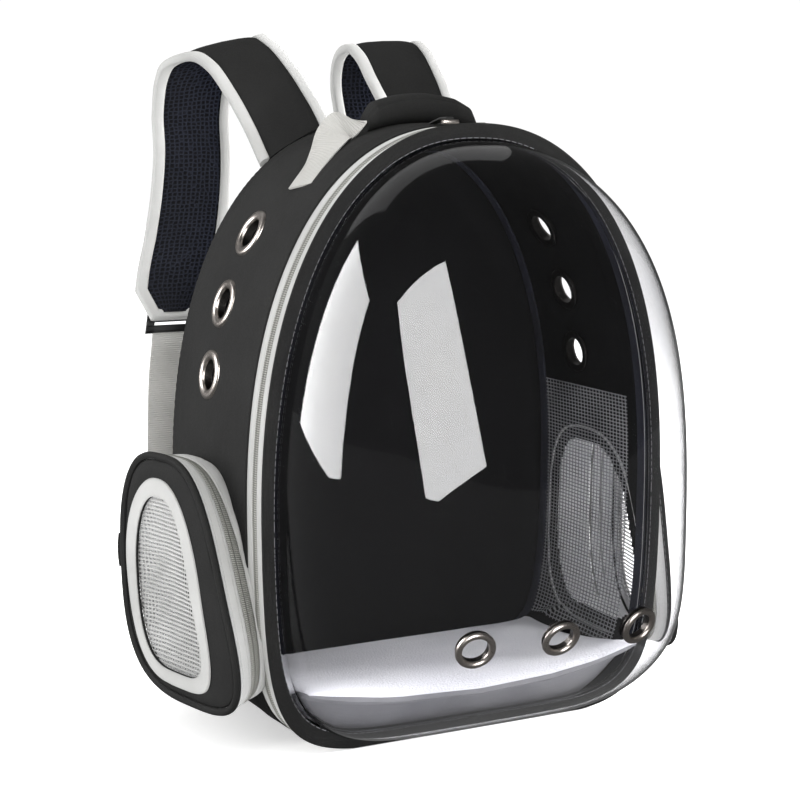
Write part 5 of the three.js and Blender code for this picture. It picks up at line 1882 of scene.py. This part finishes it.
@dataclass
class Studio:
    """Floor, world light, softboxes and the camera."""

    camera_at: tuple[float, float, float] = (-0.59533, -1.14296, 0.42030)
    camera_way: tuple[float, float, float] = (0.44871, 0.88064, -0.15212)
    lens: float = 80.64

    def build(self) -> None:
        """Builds the studio."""
        self.build_camera()
        self.build_floor()
        self.build_world()
        self.build_lights()
        scene = bpy.context.scene
        scene.view_settings.view_transform = "Standard"
        scene.view_settings.look = "None"

    def build_camera(self) -> None:
        """Places the camera."""
        data = bpy.data.cameras.new("camera")
        data.lens = self.lens
        data.sensor_width = 36.0
        camera = bpy.data.objects.new("camera", data)
        camera.location = self.camera_at
        camera.rotation_euler = Vector(self.camera_way).to_track_quat("-Z", "Y").to_euler()
        bpy.context.collection.objects.link(camera)
        bpy.context.scene.camera = camera

    @staticmethod
    def build_floor() -> None:
        """Makes the plain pale floor."""
        mesh = bmesh.new()
        bmesh.ops.create_grid(mesh, x_segments=1, y_segments=1, size=6.0)
        data = bpy.data.meshes.new("floor")
        mesh.to_mesh(data)
        mesh.free()
        floor = bpy.data.objects.new("floor", data)
        floor.location = (0, 0, -0.0002)
        material = bpy.data.materials.new("floor")
        material.use_nodes = True
        shader = material.node_tree.nodes["Principled BSDF"]
        shader.inputs["Base Color"].default_value = (0.93, 0.93, 0.93, 1)
        shader.inputs["Roughness"].default_value = 0.9
        shader.inputs["Specular IOR Level"].default_value = 0.0
        shader.inputs["Emission Color"].default_value = (1, 1, 1, 1)
        shader.inputs["Emission Strength"].default_value = 0.5
        graph = Graph(material.node_tree)
        path = graph.node("ShaderNodeLightPath")
        dim = graph.node("ShaderNodeEmission")
        dim.inputs["Strength"].default_value = 0.13
        choice = graph.node("ShaderNodeMixShader")
        graph.join(graph.math("GREATER_THAN", path.outputs["Glossy Depth"], 0.5), choice.inputs[0])
        graph.join(shader.outputs[0], choice.inputs[1])
        graph.join(dim.outputs[0], choice.inputs[2])
        graph.join(choice.outputs[0], material.node_tree.nodes["Material Output"].inputs["Surface"])
        data.materials.append(material)
        bpy.context.collection.objects.link(floor)

    @staticmethod
    def build_world() -> None:
        """White behind the object, dimmer in what its surfaces mirror."""
        world = bpy.data.worlds.new("studio")
        bpy.context.scene.world = world
        world.use_nodes = True
        graph = Graph(world.node_tree)
        path = graph.node("ShaderNodeLightPath")
        back = world.node_tree.nodes["Background"]
        back.inputs["Color"].default_value = (1, 1, 1, 1)
        mirrored = graph.math("GREATER_THAN", path.outputs["Glossy Depth"], 0.5)
        glossy = graph.math("MULTIPLY", mirrored, -0.97)
        diffuse = graph.math("MULTIPLY", path.outputs["Is Diffuse Ray"], -0.35)
        graph.join(graph.math("ADD", graph.math("ADD", 1.03, glossy), diffuse), back.inputs["Strength"])

    @staticmethod
    def panel(name: str, azimuth: float, elevation: float, distance: float, size: tuple[float, float],
              power: float,
              mirrored: bool = True, lit: bool = True, roll: float = 0.0) -> None:
        """Adds a softbox that looks at the object.

        Args:
            name: its name.
            azimuth: degrees from -Y towards +X.
            elevation: degrees above the floor.
            distance: metres from the object's middle.
            size: width and height.
            power: watts.
            mirrored: whether glossy surfaces show it.
            lit: whether it lights rough surfaces.
            roll: degrees it is turned about its own line of sight.
        """
        data = bpy.data.lights.new(name, "AREA")
        data.shape = "RECTANGLE"
        data.size, data.size_y = size
        data.energy = power
        light = bpy.data.objects.new(name, data)
        a, e = math.radians(azimuth), math.radians(elevation)
        away = Vector((math.sin(a) * math.cos(e), -math.cos(a) * math.cos(e), math.sin(e)))
        light.location = Vector((0, -0.05, 0.2)) + away * distance
        turned = (-away).to_track_quat("-Z", "Y") @ Quaternion((0, 0, 1), math.radians(roll))
        light.rotation_euler = turned.to_euler()
        light.visible_glossy = mirrored
        light.visible_transmission = mirrored
        light.visible_diffuse = lit
        bpy.context.collection.objects.link(light)

    def build_lights(self) -> None:
        """Adds the softboxes."""
        self.panel("top_box", -20, 78, 1.8, (2.2, 2.2), 30, mirrored=False)
        self.panel("left_fill", -75, 25, 1.8, (1.2, 1.4), 8, mirrored=False)
        self.panel("right_fill", 55, 22, 1.9, (1.2, 1.4), 8, mirrored=False)
        self.panel("net_fill", 84, 14, 1.8, (0.9, 0.9), 110, mirrored=False)
        self.panel("strip_left", -108, 17, 1.6, (1.35, 1.30), 46, lit=False, roll=-9)
        self.panel("strip_front", -17, 20, 1.6, (1.15, 1.45), 46, lit=False, roll=16)
        self.panel("band_top", 175, 52, 1.8, (1.9, 1.3), 2.4, lit=False)


def main() -> None:
    """Builds every sub-assembly in order."""
    logging.basicConfig(level=logging.INFO, format="%(name)s %(message)s")
    finishes = Finishes()
    Studio().build()
    body = BodyShape()
    dome = Dome(body)
    vents = SideVents(body)
    pods = SidePods(body)
    Gusset(body).build(finishes, vents, pods)
    DoorRim(body).build(finishes, dome)
    dome.build(finishes)
    vents.build(finishes)
    pods.build(finishes)
    Interior(body).build(finishes)
    Straps(body).build(finishes)
    Handle(body).build(finishes)
    ZipSlider(body).build(finishes)


if __name__ == "__main__":
    main()
